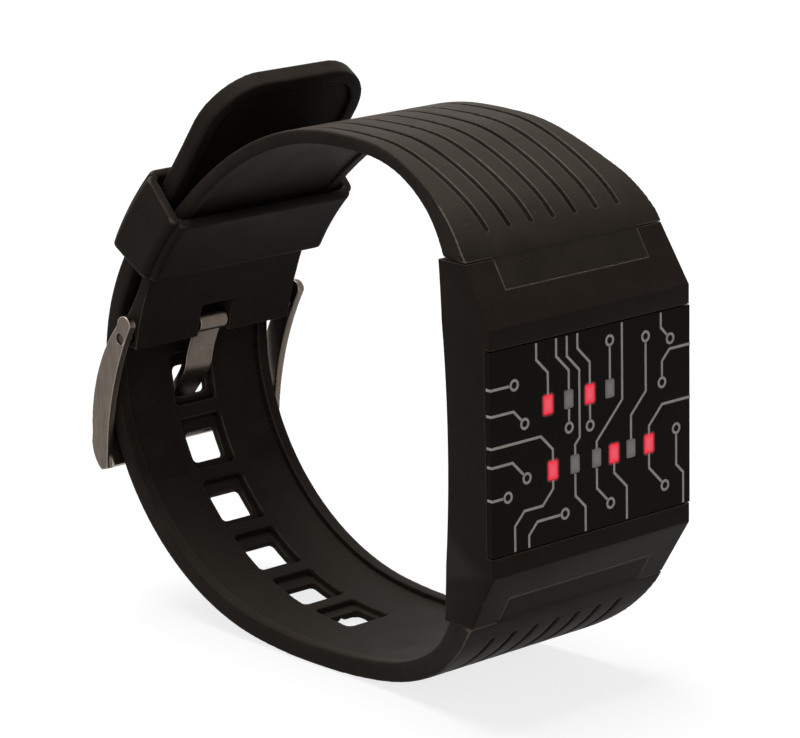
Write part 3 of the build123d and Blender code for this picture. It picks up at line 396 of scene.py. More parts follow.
# %% A finish for each CAD node
nodes_of_finish = {
    "case_plastic": ["case_body"],
    "panel_film": ["display_panel"],
    "adhesive_foam": ["panel_adhesive"],
    "black_mask": ["light_mask"],
    "lamp_resin": ["hour_leds", "minute_leds"],
    "board_mask": ["circuit_board"],
    "epoxy_body": ["microcontroller", "switch_upper", "switch_lower"],
    "can_aluminium": ["quartz_crystal"],
    "resistor_body": ["chip_resistors"],
    "cover_steel": ["coin_cell", "back_cover"],
    "holder_nylon": ["cell_holder"],
    "spring_steel": ["cell_contact", "cell_clip", "button_spring_upper", "button_spring_lower",
                     "button_clip_upper", "button_clip_lower"],
    "seal_rubber": ["back_gasket", "button_seals"],
    "bar_steel": ["back_screws", "strap_pins", "buckle_bar"],
    "button_plastic": ["button_upper", "button_lower"],
    "strap_rubber": ["strap_upper", "strap_lower", "keeper"],
    "buckle_steel": ["buckle_frame", "buckle_tang"],
}
finish_of = {node: finish for finish, nodes in nodes_of_finish.items() for node in nodes}
for node, finish in finish_of.items():
    mesh = frame["nodes"][node].data
    mesh.materials.clear()
    mesh.materials.append(finishes[finish])
print("finished", len(finish_of), "of", len(frame["nodes"]), "CAD nodes")

# %% [markdown]
# The new pieces share a few mesh tools. Vertices are read and written as one whole array, in
# millimetres. A CAD node's mesh is loose triangles, so a copy is merged into one skin first.

# %% The mesh tools
MERGE_MM, FLAT_DEGREES = 0.002, 0.4


def read_places(mesh):
    """The places of a mesh's vertices, in millimetres, as rows of x, y and z."""
    places = np.empty(len(mesh.vertices) * 3)
    mesh.vertices.foreach_get("co", places)
    return places.reshape(-1, 3) / MM


def write_places(mesh, places):
    """Move a mesh's vertices to these places, in millimetres."""
    mesh.vertices.foreach_set("co", (places * MM).ravel())
    mesh.update()


def read_normals(mesh):
    """The normals of a mesh's vertices, as rows of x, y and z."""
    normals = np.empty(len(mesh.vertices) * 3, np.float32)
    mesh.vertex_normals.foreach_get("vector", normals)
    return normals.reshape(-1, 3)


def store_mark(mesh, name, values):
    """Give each vertex a number that a material can read by its name."""
    mesh.attributes.new(name, "FLOAT", "POINT").data.foreach_set("value", np.asarray(values, np.float32))


def smooth(mesh, degrees):
    """Shade a mesh smoothly, except at edges that turn by more than this angle."""
    mesh.shade_smooth()
    mesh.set_sharp_from_angle(angle=math.radians(degrees))


def through_bmesh(mesh, change):
    """Change a mesh by a function of its bmesh."""
    skin = bmesh.new()
    skin.from_mesh(mesh)
    change(skin)
    skin.to_mesh(mesh)
    skin.free()
    return mesh


def face_outwards(skin):
    """Turn every face of a closed or open skin the same way, outwards."""
    bmesh.ops.recalc_face_normals(skin, faces=skin.faces[:])


def merge(skin):
    """Merge loose triangles into one skin, and join those that lie flat into whole faces."""
    bmesh.ops.remove_doubles(skin, verts=skin.verts[:], dist=MERGE_MM * MM)
    bmesh.ops.dissolve_limit(skin, angle_limit=math.radians(FLAT_DEGREES), verts=skin.verts[:],
                             edges=skin.edges[:])


def merged_copy(node):
    """A merged copy of a CAD node's mesh."""
    return through_bmesh(frame["nodes"][node].data.copy(), merge)


print("points closer than", MERGE_MM, "mm are merged")

# %% [markdown]
# A modifier's result can be kept as a mesh of its own, so that numpy can go on with it. A finished
# mesh rides on its node's body and takes the material slot of the node that it stands for, so it
# moves as the CAD node would.

# %% Applying a modifier and showing a piece
BODY_OF = {node: body for body, nodes in frame["record"]["behaviour"]["bodies"].items() for node in nodes}


def evaluated(mesh, kind, **settings):
    """A mesh with one modifier applied to it, given by its kind and its settings."""
    raw = bpy.data.objects.new("raw", mesh)
    bpy.context.scene.collection.objects.link(raw)
    step = raw.modifiers.new(kind, kind)
    for name, value in settings.items():
        setattr(step, name, value)
    bpy.context.view_layer.update()
    result = bpy.data.meshes.new_from_object(raw.evaluated_get(bpy.context.evaluated_depsgraph_get()))
    bpy.data.objects.remove(raw)
    return result


def show_piece(name, mesh, body, finish, stands_for=()):
    """Put a finished mesh in the scene, riding on its body, in place of the nodes it stands for."""
    piece = bpy.data.objects.new(name, mesh)
    bpy.context.scene.collection.objects.link(piece)
    if finish:
        mesh.materials.clear()
        mesh.materials.append(finishes[finish])
    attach(piece, body)
    if stands_for:
        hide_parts(*stands_for)
    return piece


def stand_in(node, ending, mesh):
    """Show a mesh in place of one CAD node, with that node's body, slot and finish."""
    return show_piece(node + ending, mesh, BODY_OF[node], finish_of[node], (node,))


# %% [markdown]
# Real moulded and stamped edges are never sharp: a small radius catches a thin line of light, and
# that line is what makes an edge look real. Five hard pieces get it from a Bevel modifier on a
# merged copy.

# %% Rounded copies of the hard pieces
BEVEL_SEGMENTS, SHARP_DEGREES = 3, 32
radius_mm_of = {
    "buckle_bar": 0.1, "case_body": 0.2, "back_cover": 0.1,
    "button_upper": 0.08, "button_lower": 0.08,
}
for node, radius_mm in radius_mm_of.items():
    mesh = merged_copy(node)
    smooth(mesh, SHARP_DEGREES)
    piece = stand_in(node, "_rounded", mesh)
    edge = piece.modifiers.new("edge", "BEVEL")
    edge.width = radius_mm * MM
    edge.segments = BEVEL_SEGMENTS
    edge.limit_method = "ANGLE"
    edge.angle_limit = math.radians(SHARP_DEGREES)
    edge.use_clamp_overlap = True
    edge.harden_normals = True
    print(piece.name, "radius", radius_mm, "mm")

# %% [markdown]
# The strap halves and the keeper are soft moulded rubber, and the buckle was tumbled smooth, so no
# two of their faces meet sharply. A bevel tears where small grooves and holes meet, so the copy is
# rebuilt on a fine even grid, and passes of smoothing wear its edges round. The keeper's plump
# corners are larger than smoothing gives, so a formula rounds them.

# %% The keeper's corners
BEND_AXIS_MM = (38.65, -10.37)


def round_corners(mesh, corner_mm):
    """Round the keeper's four long corners. Its section is a rectangle: one way is x, and the other
    is the distance from the axis that the strap bends round. In a square at each corner, a point's
    two distances from the square's inner corner are scaled by the larger one over their root sum of
    squares, which turns nested squares into quarter circles."""
    places = read_places(mesh)
    arm = places[:, 1:] - BEND_AXIS_MM
    distance = np.linalg.norm(arm, axis=1)
    section = np.stack([places[:, 0], distance - (distance.min() + distance.max()) / 2], 1)
    flat = np.abs(section).max(0) - corner_mm
    inside = np.maximum(np.abs(section) - flat, 0)
    scale = np.where(inside.min(1) > 0, inside.max(1) / np.maximum(np.linalg.norm(inside, axis=1), 1e-9), 1)
    new = np.sign(section) * (np.minimum(np.abs(section), flat) + inside * scale[:, None])
    places[:, 0] = new[:, 0]
    places[:, 1:] += arm * ((new[:, 1] - section[:, 1]) / distance)[:, None]
    write_places(mesh, places)


print("the strap bends round y, z", BEND_AXIS_MM, "mm")

# %% [markdown]
# The upper strap has seven grooves along it. In the solid they grow shallow over the first bend,
# from 0.45 mm down to 0.14 mm, where the real ones stay crisp. The fine grid is dense enough to
# press the missing depth into them, before the smoothing passes round their lips.

# %% The grooves' depth
GROOVE_STEP_MM, MOST_GROOVES_OUT, GROOVE_FLOOR_MM, GROOVE_EDGE_MM = 4.1, 3, 0.28, 0.42
BEND_Y_MM, MISSING_DEPTH_MM = (8.0, 11.6, 12.8, 16.4, 19.3, 24.9), (0, 0.15, 0.25, 0.31, 0.2, 0)
FACING_Y, INNER_SIDE = (-0.7, -0.22), -0.5


def deepen_grooves(mesh):
    """Keep the upper strap's grooves equally deep over its bend. A point moves in by the depth that
    is missing there: by all of it within 0.28 mm of a groove's middle, and not at all past 0.42 mm
    or on the inner side. The way in turns steadily along the bend."""
    places, normals = read_places(mesh), read_normals(mesh)
    facing_y = np.interp(places[:, 1], (BEND_Y_MM[0], BEND_Y_MM[-1]), FACING_Y)
    outwards = np.column_stack([0 * facing_y, facing_y, np.sqrt(1 - facing_y ** 2)])
    groove = np.clip(np.round(places[:, 0] / GROOVE_STEP_MM), -MOST_GROOVES_OUT, MOST_GROOVES_OUT)
    off_middle = np.abs(places[:, 0] - groove * GROOVE_STEP_MM)
    depth = np.interp(off_middle, (GROOVE_FLOOR_MM, GROOVE_EDGE_MM), (1, 0))
    depth *= np.interp(places[:, 1], BEND_Y_MM, MISSING_DEPTH_MM)
    depth *= (normals * outwards).sum(1) > INNER_SIDE
    write_places(mesh, places - depth[:, None] * outwards)
    print("grooves deepened by up to", round(float(depth.max()), 2), "mm")


print("missing depth", MISSING_DEPTH_MM, "mm at y", BEND_Y_MM, "mm")

# %% [markdown]
# The strap's rims are rounder than its grooves, so they get extra passes of smoothing. A share says
# where: along the outline, but not beside the case, where the seam stays tight, and not at the
# buckle's bar, which needs its room.

# %% The rims' share of smoothing
HALF_BAND_MM, TIP_RADIUS_MM, TIP_WAY = 15.0, 8.7, (-0.563, 0.826)
RIM_FULL_MM, RIM_NONE_MM, RIM_ROUND_MM = 1.3, 1.9, 0.4
SEAM_Y_MM, BAR_END_Z_MM = (11.0, 14.0), (8.0, 12.0)


def rim_share(places, has_tip):
    """How much of the extra smoothing a point of a strap half gets: all within 1.3 mm of the strap's
    outline and none past 1.9 mm. The outline is two straight sides, with round corners at the tip:
    a point's distance from it is the corner's radius less the root sum of squares of how far the
    point lies past the corner's centre each way."""
    along = places[:, 1:] @ TIP_WAY
    past_side = np.maximum(np.abs(places[:, 0]) - (HALF_BAND_MM - TIP_RADIUS_MM), 0)
    past_end = np.maximum(along - along.max() + TIP_RADIUS_MM, 0) * has_tip
    inside = TIP_RADIUS_MM - np.hypot(past_side, past_end)
    clear_of_seam = np.interp(places[:, 1], SEAM_Y_MM, (0, 1))
    clear_of_bar = 1 if has_tip else np.interp(places[:, 2], BAR_END_Z_MM, (0, 1))
    return np.interp(inside, (RIM_FULL_MM, RIM_NONE_MM), (1, 0)) * clear_of_seam * clear_of_bar


print("rims rounded by about", RIM_ROUND_MM, "mm")

# %% [markdown]
# On an even grid, the mean of a vertex's neighbours says how the surface bends there: on a lip it
# lies behind the vertex, and at a foot before it. Array operations find it for every vertex at
# once, so the same helper smooths the rims and measures the crease mark that the finishes read.

# %% The rims and the marks
def mean_of_neighbours(mesh):
    """A function that gives, for each vertex, the mean of a value over the vertices that share an
    edge with it: sums over both ends of every edge, divided by the number of edges."""
    count = len(mesh.vertices)
    ends = np.empty(len(mesh.edges) * 2, np.int32)
    mesh.edges.foreach_get("vertices", ends)
    one, other = ends.reshape(-1, 2).T
    neighbours = np.maximum(np.bincount(np.concatenate([one, other]), minlength=count), 1)

    def mean_around(values):
        total = np.bincount(one, values[other], count) + np.bincount(other, values[one], count)
        return total / neighbours

    return mean_around


def round_and_mark(mesh, grid_mm, is_strap, has_tip):
    """Round a strap's rims with extra passes, each of which moves a point half way to the mean of
    its neighbours, and give each vertex two marks. Crease is how far that mean lies behind it along
    its normal, as a share of the grid. Inward is how squarely it faces the strap's bend axis."""
    places, mean_around = read_places(mesh), mean_of_neighbours(mesh)

    def around():
        return np.stack([mean_around(column) for column in places.T], 1)

    if is_strap:
        weight = 0.5 * rim_share(places, has_tip)
        for _ in range(round((2 * RIM_ROUND_MM / grid_mm) ** 2)):
            places += weight[:, None] * (around() - places)
        write_places(mesh, places)
    normals = read_normals(mesh)
    crease = mean_around(((places - around()) * normals).sum(1) / grid_mm)
    arm = places[:, 1:] - BEND_AXIS_MM
    store_mark(mesh, "crease", crease)
    store_mark(mesh, "inward", -(arm * normals[:, 1:]).sum(1) / np.linalg.norm(arm, axis=1))
    print("crease from", round(float(crease.min()), 3), "to", round(float(crease.max()), 3))


print("marks of a softened piece: crease and inward")

# %% [markdown]
# Each softened piece has a grid that suits its size, and more passes where its edges are rounder.
# Flat places then lose the points they don't need, down to a limit of triangles.

# %% The softened pieces
MOST_TRIANGLES = 180000


def softened(node, grid_mm, passes, corner_mm):
    """Stand a copy in for a CAD node, rebuilt on an even grid and smoothed in passes. Each pass moves
    every point part of the way to the mean of its neighbours."""
    mesh = evaluated(merged_copy(node), "REMESH", mode="VOXEL", voxel_size=grid_mm * MM)
    if node == "strap_upper":
        deepen_grooves(mesh)
    mesh = evaluated(mesh, "SMOOTH", factor=0.5, iterations=passes)
    if corner_mm:
        round_corners(mesh, corner_mm)
    round_and_mark(mesh, grid_mm, node in ("strap_upper", "strap_lower"), node == "strap_lower")
    share = MOST_TRIANGLES / (2 * len(mesh.polygons))
    if share < 1:
        mesh = evaluated(mesh, "DECIMATE", ratio=share)
    mesh.shade_smooth()
    stand_in(node, "_softened", mesh)
    print(node, "on a grid of", grid_mm, "mm has", len(mesh.polygons), "faces")


for node, grid_mm, passes, corner_mm in (
    ("strap_upper", 0.15, 5, 0),
    ("strap_lower", 0.19, 5, 0),
    ("keeper", 0.22, 18, 2.2),
    ("buckle_frame", 0.14, 9, 0),
    ("buckle_tang", 0.12, 6, 0),
):
    softened(node, grid_mm, passes, corner_mm)

# %% [markdown]
# The black panel is a printed film. Its front and sides are set back by a hair, and the ink fills
# that depth, so nothing passes the CAD box.

# %% The panel's film
INK_MM = 0.02
panel_low, panel_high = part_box("display_panel")
film = merged_copy("display_panel")
film_places = read_places(film)
film_places[:, 1] = np.maximum(film_places[:, 1], INK_MM)
film_places[:, 0] = np.clip(film_places[:, 0], panel_low.x / MM + INK_MM, panel_high.x / MM - INK_MM)
write_places(film, film_places)
smooth(film, SHARP_DEGREES)
show_piece("display_film", film, "watch", "panel_film", ("display_panel",))
print("film set back by", INK_MM, "mm")

# %% [markdown]
# Ink is laid as strips between two edges. A track's edges follow its line at half its width, and a
# pad is a strip that closes on itself, between two circles.

# %% The shapes of ink
LINE_MM, PAD_MM, PAD_HOLE_MM, PAD_SIDES, SINK_SHARE = 0.37, 0.84, 0.47, 40, 1.5


def ribbon(points, width):
    """A track's two edges: each corner moves along the mean of its two sides' normals, drawn out by
    one over the cosine of half the turn, so the track keeps its width round the corner."""
    points = np.array(points, float)
    step = np.diff(points, axis=0)
    step /= np.linalg.norm(step, axis=1)[:, None]
    normal = np.stack([-step[:, 1], step[:, 0]], 1)
    first, last = np.vstack([normal[:1], normal]), np.vstack([normal, normal[-1:]])
    middle = first + last
    middle /= np.linalg.norm(middle, axis=1)[:, None]
    middle /= (middle * last).sum(1)[:, None]
    return points + middle * width / 2, points - middle * width / 2


def ring(centre):
    """A pad's two edges: circles of the outer and inner radius about its centre."""
    angle = np.linspace(0, 2 * math.pi, PAD_SIDES + 1)
    circle = np.stack([np.cos(angle), np.sin(angle)], 1)
    return np.array(centre) + PAD_MM * circle, np.array(centre) + PAD_HOLE_MM * circle


def ink_mesh(name, strips):
    """Strips of ink: each pair of edges becomes a row of quads at the front, y = 0, with sides that
    reach a little into the film. All places are in millimetres as x and z."""
    all_places, all_faces, count = [], [], 0
    for left, right_edge in strips:
        n = len(left)
        flat = np.vstack([left, right_edge])
        front = np.column_stack([flat[:, 0], np.zeros(2 * n), flat[:, 1]]) * MM
        rear = front + [0, INK_MM * MM * SINK_SHARE, 0]
        all_places.append(np.vstack([front, rear]))
        i = np.arange(n - 1)
        top_faces = np.stack([i, i + 1, n + i + 1, n + i], 1)
        left_faces = np.stack([i, 2 * n + i, 2 * n + i + 1, i + 1], 1)
        right_faces = np.stack([n + i, n + i + 1, 3 * n + i + 1, 3 * n + i], 1)
        all_faces += [count + top_faces, count + left_faces, count + right_faces]
        count += 4 * n
    mesh = bpy.data.meshes.new(name)
    mesh.from_pydata(np.vstack(all_places).tolist(), [], np.vstack(all_faces).tolist())
    mesh.validate()
    return through_bmesh(mesh, face_outwards)


print("tracks are", LINE_MM, "mm wide and pads", 2 * PAD_MM, "mm across")

# %% [markdown]
# The print shows thin grey tracks like those of a circuit board, with round pads at their ends. The
# motif is a common one, and this layout is a new one of the same weight and colour. Tracks leave
# the light windows and the panel's edges, as x and z in millimetres on the face.

# %% The printed tracks
SIDE, END = 18.98, 14.0
tracks = [
    [(-8.5, 6.5), (-8.5, 9.6), (-10.6, 11.7), (-10.6, END)],
    [(-4.58, 6.5), (-4.58, 9.2), (-6.9, 11.5), (-6.9, END)],
    [(-4.9, END), (-4.9, 11.2), (-2.6, 8.9), (-2.6, -0.5), (-3.5, -1.4), (-3.5, -2.8)],
    [(-0.6, 6.5), (-0.6, 9.6), (-2.9, 11.9), (-2.9, END)],
    [(3.25, 6.5), (3.25, 11.0)],
    [(5.6, END), (5.6, 3.2), (0.62, -1.78), (0.62, -2.8)],
    [(7.28, -2.8), (7.28, 0.6), (10.2, 3.5), (10.2, 10.3)],
    [(10.8, -2.8), (10.8, -1.6), (13.4, 1.0), (SIDE, 1.0)],
    [(SIDE, 8.6), (14.9, 8.6), (13.4, 7.1), (13.4, 5.0)],
    [(13.2, END), (13.2, 11.9), (14.4, 10.7)],
    [(16.2, -3.9), (16.2, -8.2), (17.6, -9.6), (17.6, -END)],
    [(10.8, -5.5), (10.8, -7.6), (13.3, -10.1)],
    [(3.97, -5.5), (3.97, -6.9), (6.4, -9.3), (6.4, -END)],
    [(0.62, -5.5), (0.62, -8.4), (2.6, -10.4)],
    [(-3.5, -5.5), (-3.5, -8.6), (-1.6, -10.5), (-1.6, -END)],
    [(-7.7, -5.5), (-7.7, -6.7), (-9.7, -8.7), (-13.1, -8.7), (-14.9, -10.5), (-14.9, -END)],
    [(-12.3, -END), (-12.3, -12.3), (-10.7, -10.7), (-6.4, -10.7)],
    [(-7.7, -2.8), (-7.7, -1.2), (-9.9, 1.0), (-SIDE, 1.0)],
    [(-SIDE, 9.0), (-15.6, 9.0)],
    [(-SIDE, 5.4), (-14.9, 5.4), (-13.5, 4.0)],
    [(-SIDE, -1.6), (-15.2, -1.6), (-13.2, -3.6)],
    [(-SIDE, -6.2), (-17.0, -6.2)],
    [(-4.58, 3.8), (-4.58, 2.1)],
    [(-0.6, 3.8), (-0.6, 1.6)],
]
pads = [
    (3.25, 11.9), (10.2, 11.2), (13.4, 4.1), (15.04, 10.06), (16.2, -3.0), (13.94, -10.74), (3.24, -11.04),
    (-5.5, -10.7), (-14.7, 9.0), (-12.86, 3.36), (-12.56, -4.24), (-16.1, -6.2), (-4.58, 1.2), (-0.6, 0.7),
]
strips = [ribbon(track, LINE_MM) for track in tracks] + [ring(pad) for pad in pads]
show_piece("printed_tracks", ink_mesh("printed_tracks", strips), "watch", "track_ink")
print("tracks", len(tracks), "pads", len(pads))

# %% [markdown]
# Where a track reaches the left or right side, the ink runs on over the side of the film. Each such
# end is one small square-cornered patch that looks outwards.

# %% The tracks' ends over the film's sides
FILM_SIDE_MM = 0.96
half_line = LINE_MM / 2
side_places, side_faces = [], []
for x, z in [point for track in tracks for point in (track[0], track[-1]) if abs(point[0]) == SIDE]:
    face_x = math.copysign(panel_high.x, x)
    first = len(side_places)
    for y, dz in ((0.0, -half_line), (0.0, half_line), (FILM_SIDE_MM, half_line), (FILM_SIDE_MM, -half_line)):
        side_places.append((face_x, y * MM, (z + dz) * MM))
    side_faces.append([first + i for i in ((0, 1, 2, 3) if x < 0 else (3, 2, 1, 0))])
side_ink = bpy.data.meshes.new("side_ink")
side_ink.from_pydata(side_places, [], side_faces)
show_piece("printed_track_ends", side_ink, "watch", "track_ink")
print("ends over the sides", len(side_faces))

# %% [markdown]
# Each strap half ends in a tongue that lies flush in the case's slope. A hair of rubber, the flash
# of the mould, stands in the gap round it, and its pale patches are a painted highlight that draws
# the thin line of light it catches. Its path lies in the slope's own plane, and is carried onto the
# slope by the slope's angle.

# %% The flash round the tongues
SLOPE_END_Y_MM, SLOPE_END_Z_MM, SLOPE_HEIGHT_MM = 4.92, 25.17, 8.1
TONGUE_HALF_MM, TONGUE_FROM_MM, TONGUE_TO_MM = 13.55, 0.1, 4.45
FLASH_MM, PROUD_MM = 0.07, 0.012
slope = math.atan2(SLOPE_HEIGHT_MM, SLOPE_END_Y_MM)
flash_path = [(-TONGUE_HALF_MM, TONGUE_FROM_MM), (-TONGUE_HALF_MM, TONGUE_TO_MM),
              (TONGUE_HALF_MM, TONGUE_TO_MM), (TONGUE_HALF_MM, TONGUE_FROM_MM)]
across, down = np.vstack(ribbon(flash_path, FLASH_MM)).T
flash_y = SLOPE_END_Y_MM - down * math.cos(slope) - PROUD_MM * math.sin(slope)
flash_z = SLOPE_END_Z_MM - down * math.sin(slope) + PROUD_MM * math.cos(slope)
corners = len(flash_path)
i = np.arange(corners - 1)
quads = np.stack([i, i + 1, i + corners + 1, i + corners], 1)
for name, sign in (("upper", 1), ("lower", -1)):
    flash = bpy.data.meshes.new(name + "_tongue_flash")
    flash.from_pydata((np.column_stack([across, flash_y, sign * flash_z]) * MM).tolist(), [],
                      (quads if sign > 0 else quads[:, ::-1]).tolist())
    show_piece(name + "_tongue_flash", flash, "watch", "flash_rubber")
print("flash", FLASH_MM, "mm wide on a slope of", round(math.degrees(slope), 1), "degrees")

# %% [markdown]
# Ten small windows show the time in bits: the upper row is the hour and the lower row the minutes.
# Each is the flush end of a diffusing resin light guide. Lit ones glow most in the middle and
# redder towards the rim, and dark ones look like grey frosted resin. A lit one also reddens the
# film round it a little.

# %% The windows' finishes
FROSTING_MM, FROSTING_SHARES = 0.6, (0.8, 1.2)


def glow_material(name, core, rim, strength):
    """The finish of a window or of the glow round it: its colour goes from core to rim by the
    piece's own edge mark, a little unevenly. It shines where a strength is given, and is the
    surface's plain colour otherwise."""
    material, tree, shader, place = start_material(name)
    edge = add(tree, "ShaderNodeAttribute", attribute_name="edge")
    cloud = add(tree, "ShaderNodeTexNoise", {"Vector": place, "Scale": 1 / (FROSTING_MM * MM), "Detail": 2.0})
    shade = add(tree, "ShaderNodeMix", {"Factor": cloud.outputs["Fac"], 2: FROSTING_SHARES[0],
                                        3: FROSTING_SHARES[1]})
    amount = add(tree, "ShaderNodeMath", {0: edge.outputs["Fac"], 1: shade.outputs[0]}, operation="MULTIPLY")
    ramp = add(tree, "ShaderNodeValToRGB", {"Fac": amount.outputs["Value"]})
    for stop, place_on_ramp, tone in zip(ramp.color_ramp.elements, (0.35, 1.0), (core, rim)):
        stop.position = place_on_ramp
        stop.color = linear(tone)
    if strength:
        tree.links.new(ramp.outputs["Color"], shader.inputs["Emission Color"])
        set_shader(shader, Base_Color=linear("#4a1016"))
    else:
        tree.links.new(ramp.outputs["Color"], shader.inputs["Base Color"])
    set_shader(shader, Emission_Strength=strength, Roughness=0.35, Specular_IOR_Level=0.2, IOR=1.5)
    print("window finish", name, "strength", strength)
    return material


finishes |= {
    "window_lit": glow_material("lit_diffusing_resin", "#f0566a", "#ff0f2e", 0.85),
    "window_dark": glow_material("dark_diffusing_resin", "#aea7a3", "#8f8884", 0.0),
    "red_halo": glow_material("film_lit_from_below", "#c80e26", "#110f0c", 0.6),
}

# %% [markdown]
# A window and the glow round it are built from the same outline, as rings that share their points'
# order: one function joins each ring to the next, and the edge mark says how far out a ring lies.

# %% The windows' outline and rings
WINDOW_MM, CORNER_MM, OUTLINE_POINTS = (1.75, 2.65), 0.32, 32


def window_outline():
    """Four quarter circles joined by straight sides, as x and z about the window's middle, and the
    way outwards at each point."""
    angle = np.linspace(0, 2 * math.pi, OUTLINE_POINTS + 1)[:-1] + math.pi / OUTLINE_POINTS
    outwards = np.stack([np.cos(angle), np.sin(angle)], 1)
    corner = np.sign(outwards) * (np.array(WINDOW_MM) / 2 - CORNER_MM)
    return corner + CORNER_MM * outwards, outwards


def between_rings(start, rings):
    """The quads between rings of points that were made one after another, from the start point."""
    i = np.arange(OUTLINE_POINTS)
    faces = []
    for inner in start + OUTLINE_POINTS * np.arange(rings - 1):
        a, b = inner + i, inner + OUTLINE_POINTS + i
        faces += np.stack([a, np.roll(a, -1), np.roll(b, -1), b], 1).tolist()
    return faces


def ring_places(flat, depth):
    """A ring of points, given as x and z in millimetres, at this depth behind the panel's front."""
    return np.column_stack([flat[:, 0], np.full(len(flat), depth), flat[:, 1]]) * MM


print("window", WINDOW_MM, "mm with corners of", CORNER_MM, "mm")

# %% [markdown]
# A lit window also lights the film from below. That glow could be a lamp behind a thin film, but a
# flat ring that fades into the film's own colour gives a clean edge. It lies just over the film, at
# half the ink's depth.

# %% The glow
HALO_RINGS = ((0.0, 0.3), (0.12, 0.75), (0.3, 1.0))


def halo_mesh(name, columns, height, lit):
    """The film's red glow round each lit window: rings at these distances outside the window, whose
    edge mark reaches 1 where the glow ends."""
    outline, outwards = window_outline()
    faces, places, edge = [], [], []
    for column in [column for column, on in zip(columns, lit) if on]:
        faces += between_rings(len(edge), len(HALO_RINGS))
        for out_mm, share in HALO_RINGS:
            places.append(ring_places(outline + out_mm * outwards + [column, height], INK_MM / 2))
            edge += [share] * OUTLINE_POINTS
    mesh = bpy.data.meshes.new(name)
    mesh.from_pydata(np.vstack(places).tolist(), [], faces)
    if mesh.polygons[0].normal.y > 0:
        mesh.flip_normals()
    store_mark(mesh, "edge", edge)
    return mesh


print("the glow ends", HALO_RINGS[-1][0], "mm from a window")

# %% [markdown]
# A window is a rounded block. Its front has rings inside it for the glow to change over, and its
# back reaches into the case. One mesh holds a whole row, with a lit and a dark finish.

# %% The windows
DEPTH_MM, SOFT_EDGE_MM, WINDOW_SHARP_DEGREES = 2.3, 0.06, 40
WINDOW_RINGS = ((0.02, 0), (0.45, 0), (0.8, 0), (0.97, 0), (1.0, SOFT_EDGE_MM), (1.0, DEPTH_MM))


def window_mesh(name, columns, height, lit):
    """Rounded blocks, one a window: rings of the window's outline lie on the front at shares of its
    full size, and one at the back. The edge mark is the ring's share: 1 at the rim."""
    outline = window_outline()[0]
    i = np.arange(OUTLINE_POINTS)
    faces, places, edge, kinds = [], [], [], []
    for column, on in zip(columns, lit):
        start, last_ring = len(edge), len(edge) + (len(WINDOW_RINGS) - 1) * OUTLINE_POINTS
        new = between_rings(start, len(WINDOW_RINGS)) + [(start + i[::-1]).tolist(), (last_ring + i).tolist()]
        faces += new
        kinds += [0 if on else 1] * len(new)
        for share, depth in WINDOW_RINGS:
            places.append(ring_places(outline * share + [column, height], depth))
            edge += [share] * OUTLINE_POINTS
    mesh = bpy.data.meshes.new(name)
    mesh.from_pydata(np.vstack(places).tolist(), [], faces)
    mesh.materials.append(finishes["window_lit"])
    mesh.materials.append(finishes["window_dark"])
    mesh.polygons.foreach_set("material_index", kinds)
    store_mark(mesh, "edge", edge)
    through_bmesh(mesh, face_outwards)
    smooth(mesh, WINDOW_SHARP_DEGREES)
    return mesh


for name, columns, height, lit in (
    ("hour", (-8.5, -4.58, -0.6, 3.25), 5.15, (1, 0, 1, 0)),
    ("minute", (-7.7, -3.5, 0.62, 3.97, 7.28, 10.8), -4.12, (1, 0, 0, 1, 0, 1)),
):
    windows = window_mesh(name + "_windows", columns, height, lit)
    show_piece(name + "_windows", windows, "watch", None, (name + "_light_guides",))
    glow = halo_mesh(name + "_glow", columns, height, lit)
    show_piece(name + "_glow", glow, "watch", "red_halo")
    print(name, "windows", len(columns), "lit", sum(lit))

# %% [markdown]
# The watch stands on a plain white floor in soft studio light: one broad lamp above and behind, one
# large dim one at the front left, and a pale world. What the camera sees of floor and world is
# white, and so is what metal and glass reflect of them, but the floor keeps the watch's soft shadow.

# %% The world
SKY_LEVEL, FLOOR_LIFT = 0.18, 0.8


def seen_directly(tree):
    """1 for rays from the camera, and for those that reflect off gloss or pass through glass."""
    ray = add(tree, "ShaderNodeLightPath")
    seen = add(tree, "ShaderNodeMath", {0: ray.outputs["Is Camera Ray"], 1: ray.outputs["Is Glossy Ray"]},
               operation="MAXIMUM")
    seen = add(tree, "ShaderNodeMath", {0: seen.outputs[0], 1: ray.outputs["Is Transmission Ray"]},
               operation="MAXIMUM")
    return seen.outputs[0]


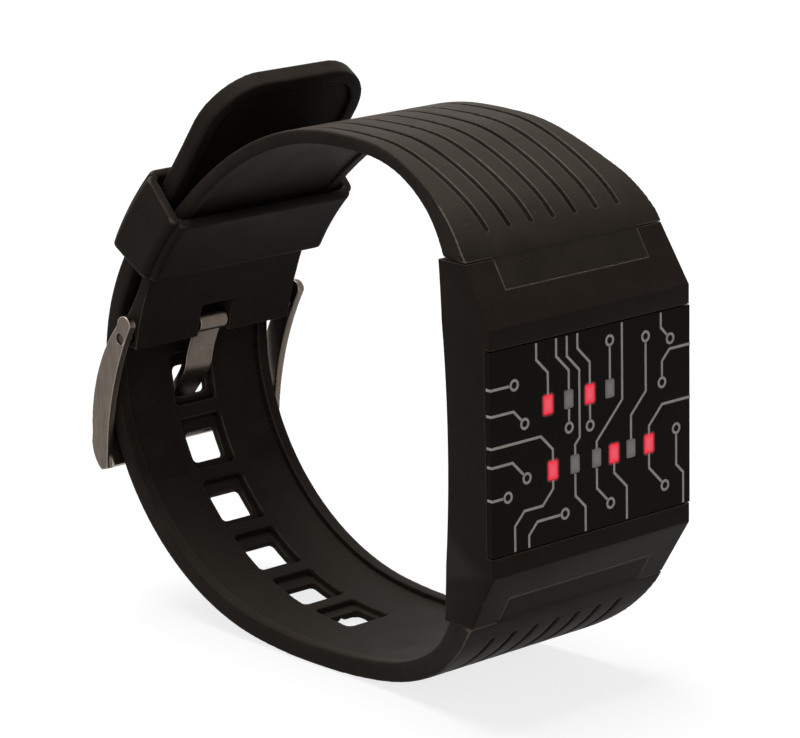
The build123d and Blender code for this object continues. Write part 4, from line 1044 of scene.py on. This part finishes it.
world = bpy.data.worlds.new("studio")
bpy.context.scene.world = world
world.use_nodes = True
sky = world.node_tree
sky.nodes.clear()
sky_level = add(sky, "ShaderNodeMapRange", {"Value": seen_directly(sky), "To Min": SKY_LEVEL, "To Max": 1.0})
white = add(sky, "ShaderNodeBackground", {"Color": (1, 1, 1, 1), "Strength": sky_level.outputs["Result"]})
add(sky, "ShaderNodeOutputWorld", {"Surface": white.outputs["Background"]})
print("world level", SKY_LEVEL)

# %% [markdown]
# The floor is a large sheet at the height of the watch's lowest point. Its own colour is a grey
# that keeps the bounced light low, and the lift makes what is seen of it white, all but the shadow.

# %% The floor
HALF_FLOOR_M = 6.0
floor_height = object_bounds()[0][2]
floor_mesh = bpy.data.meshes.new("floor")
floor_corners = [(x * HALF_FLOOR_M, y * HALF_FLOOR_M, floor_height)
                 for x, y in ((-1, -1), (1, -1), (1, 1), (-1, 1))]
floor_mesh.from_pydata(floor_corners, [], [(0, 1, 2, 3)])
floor = bpy.data.objects.new("floor", floor_mesh)
bpy.context.scene.collection.objects.link(floor)
paper, tree, shader, _ = start_material("white_studio_paper")
lift = add(tree, "ShaderNodeMath", {0: seen_directly(tree), 1: FLOOR_LIFT}, operation="MULTIPLY")
tree.links.new(lift.outputs[0], shader.inputs["Emission Strength"])
set_shader(shader, Base_Color=linear("#8e8e8e"), Roughness=0.9, Specular_IOR_Level=0.1,
           Emission_Color=(1, 1, 1, 1))
floor_mesh.materials.append(paper)
print("floor at", round(floor_height / MM, 2), "mm")


# %% [markdown]
# Both lamps are large squares, so that shadows and highlights have soft edges. The overhead one does
# most of the work, and the front one only opens the shadows on the display's side.

# %% The lamps
def soft_lamp(name, place, towards, size, watts):
    """A square area lamp that faces a point."""
    light = bpy.data.lights.new(name, "AREA")
    light.size, light.energy = size, watts
    lamp = bpy.data.objects.new(name, light)
    bpy.context.scene.collection.objects.link(lamp)
    direction = Vector(towards) - Vector(place)
    lamp.matrix_world = Matrix.Translation(place) @ direction.to_track_quat("-Z", "Y").to_matrix().to_4x4()
    print("lamp", name, watts, "W")


soft_lamp("overhead", (0.0, 0.6, 3.0), (0, 0.035, 0), 2.2, 85.0)
soft_lamp("front_left", (-2.5, -2.0, 1.5), (0, 0.03, 0), 2.5, 22.0)
bpy.context.scene.view_settings.view_transform = "Standard"
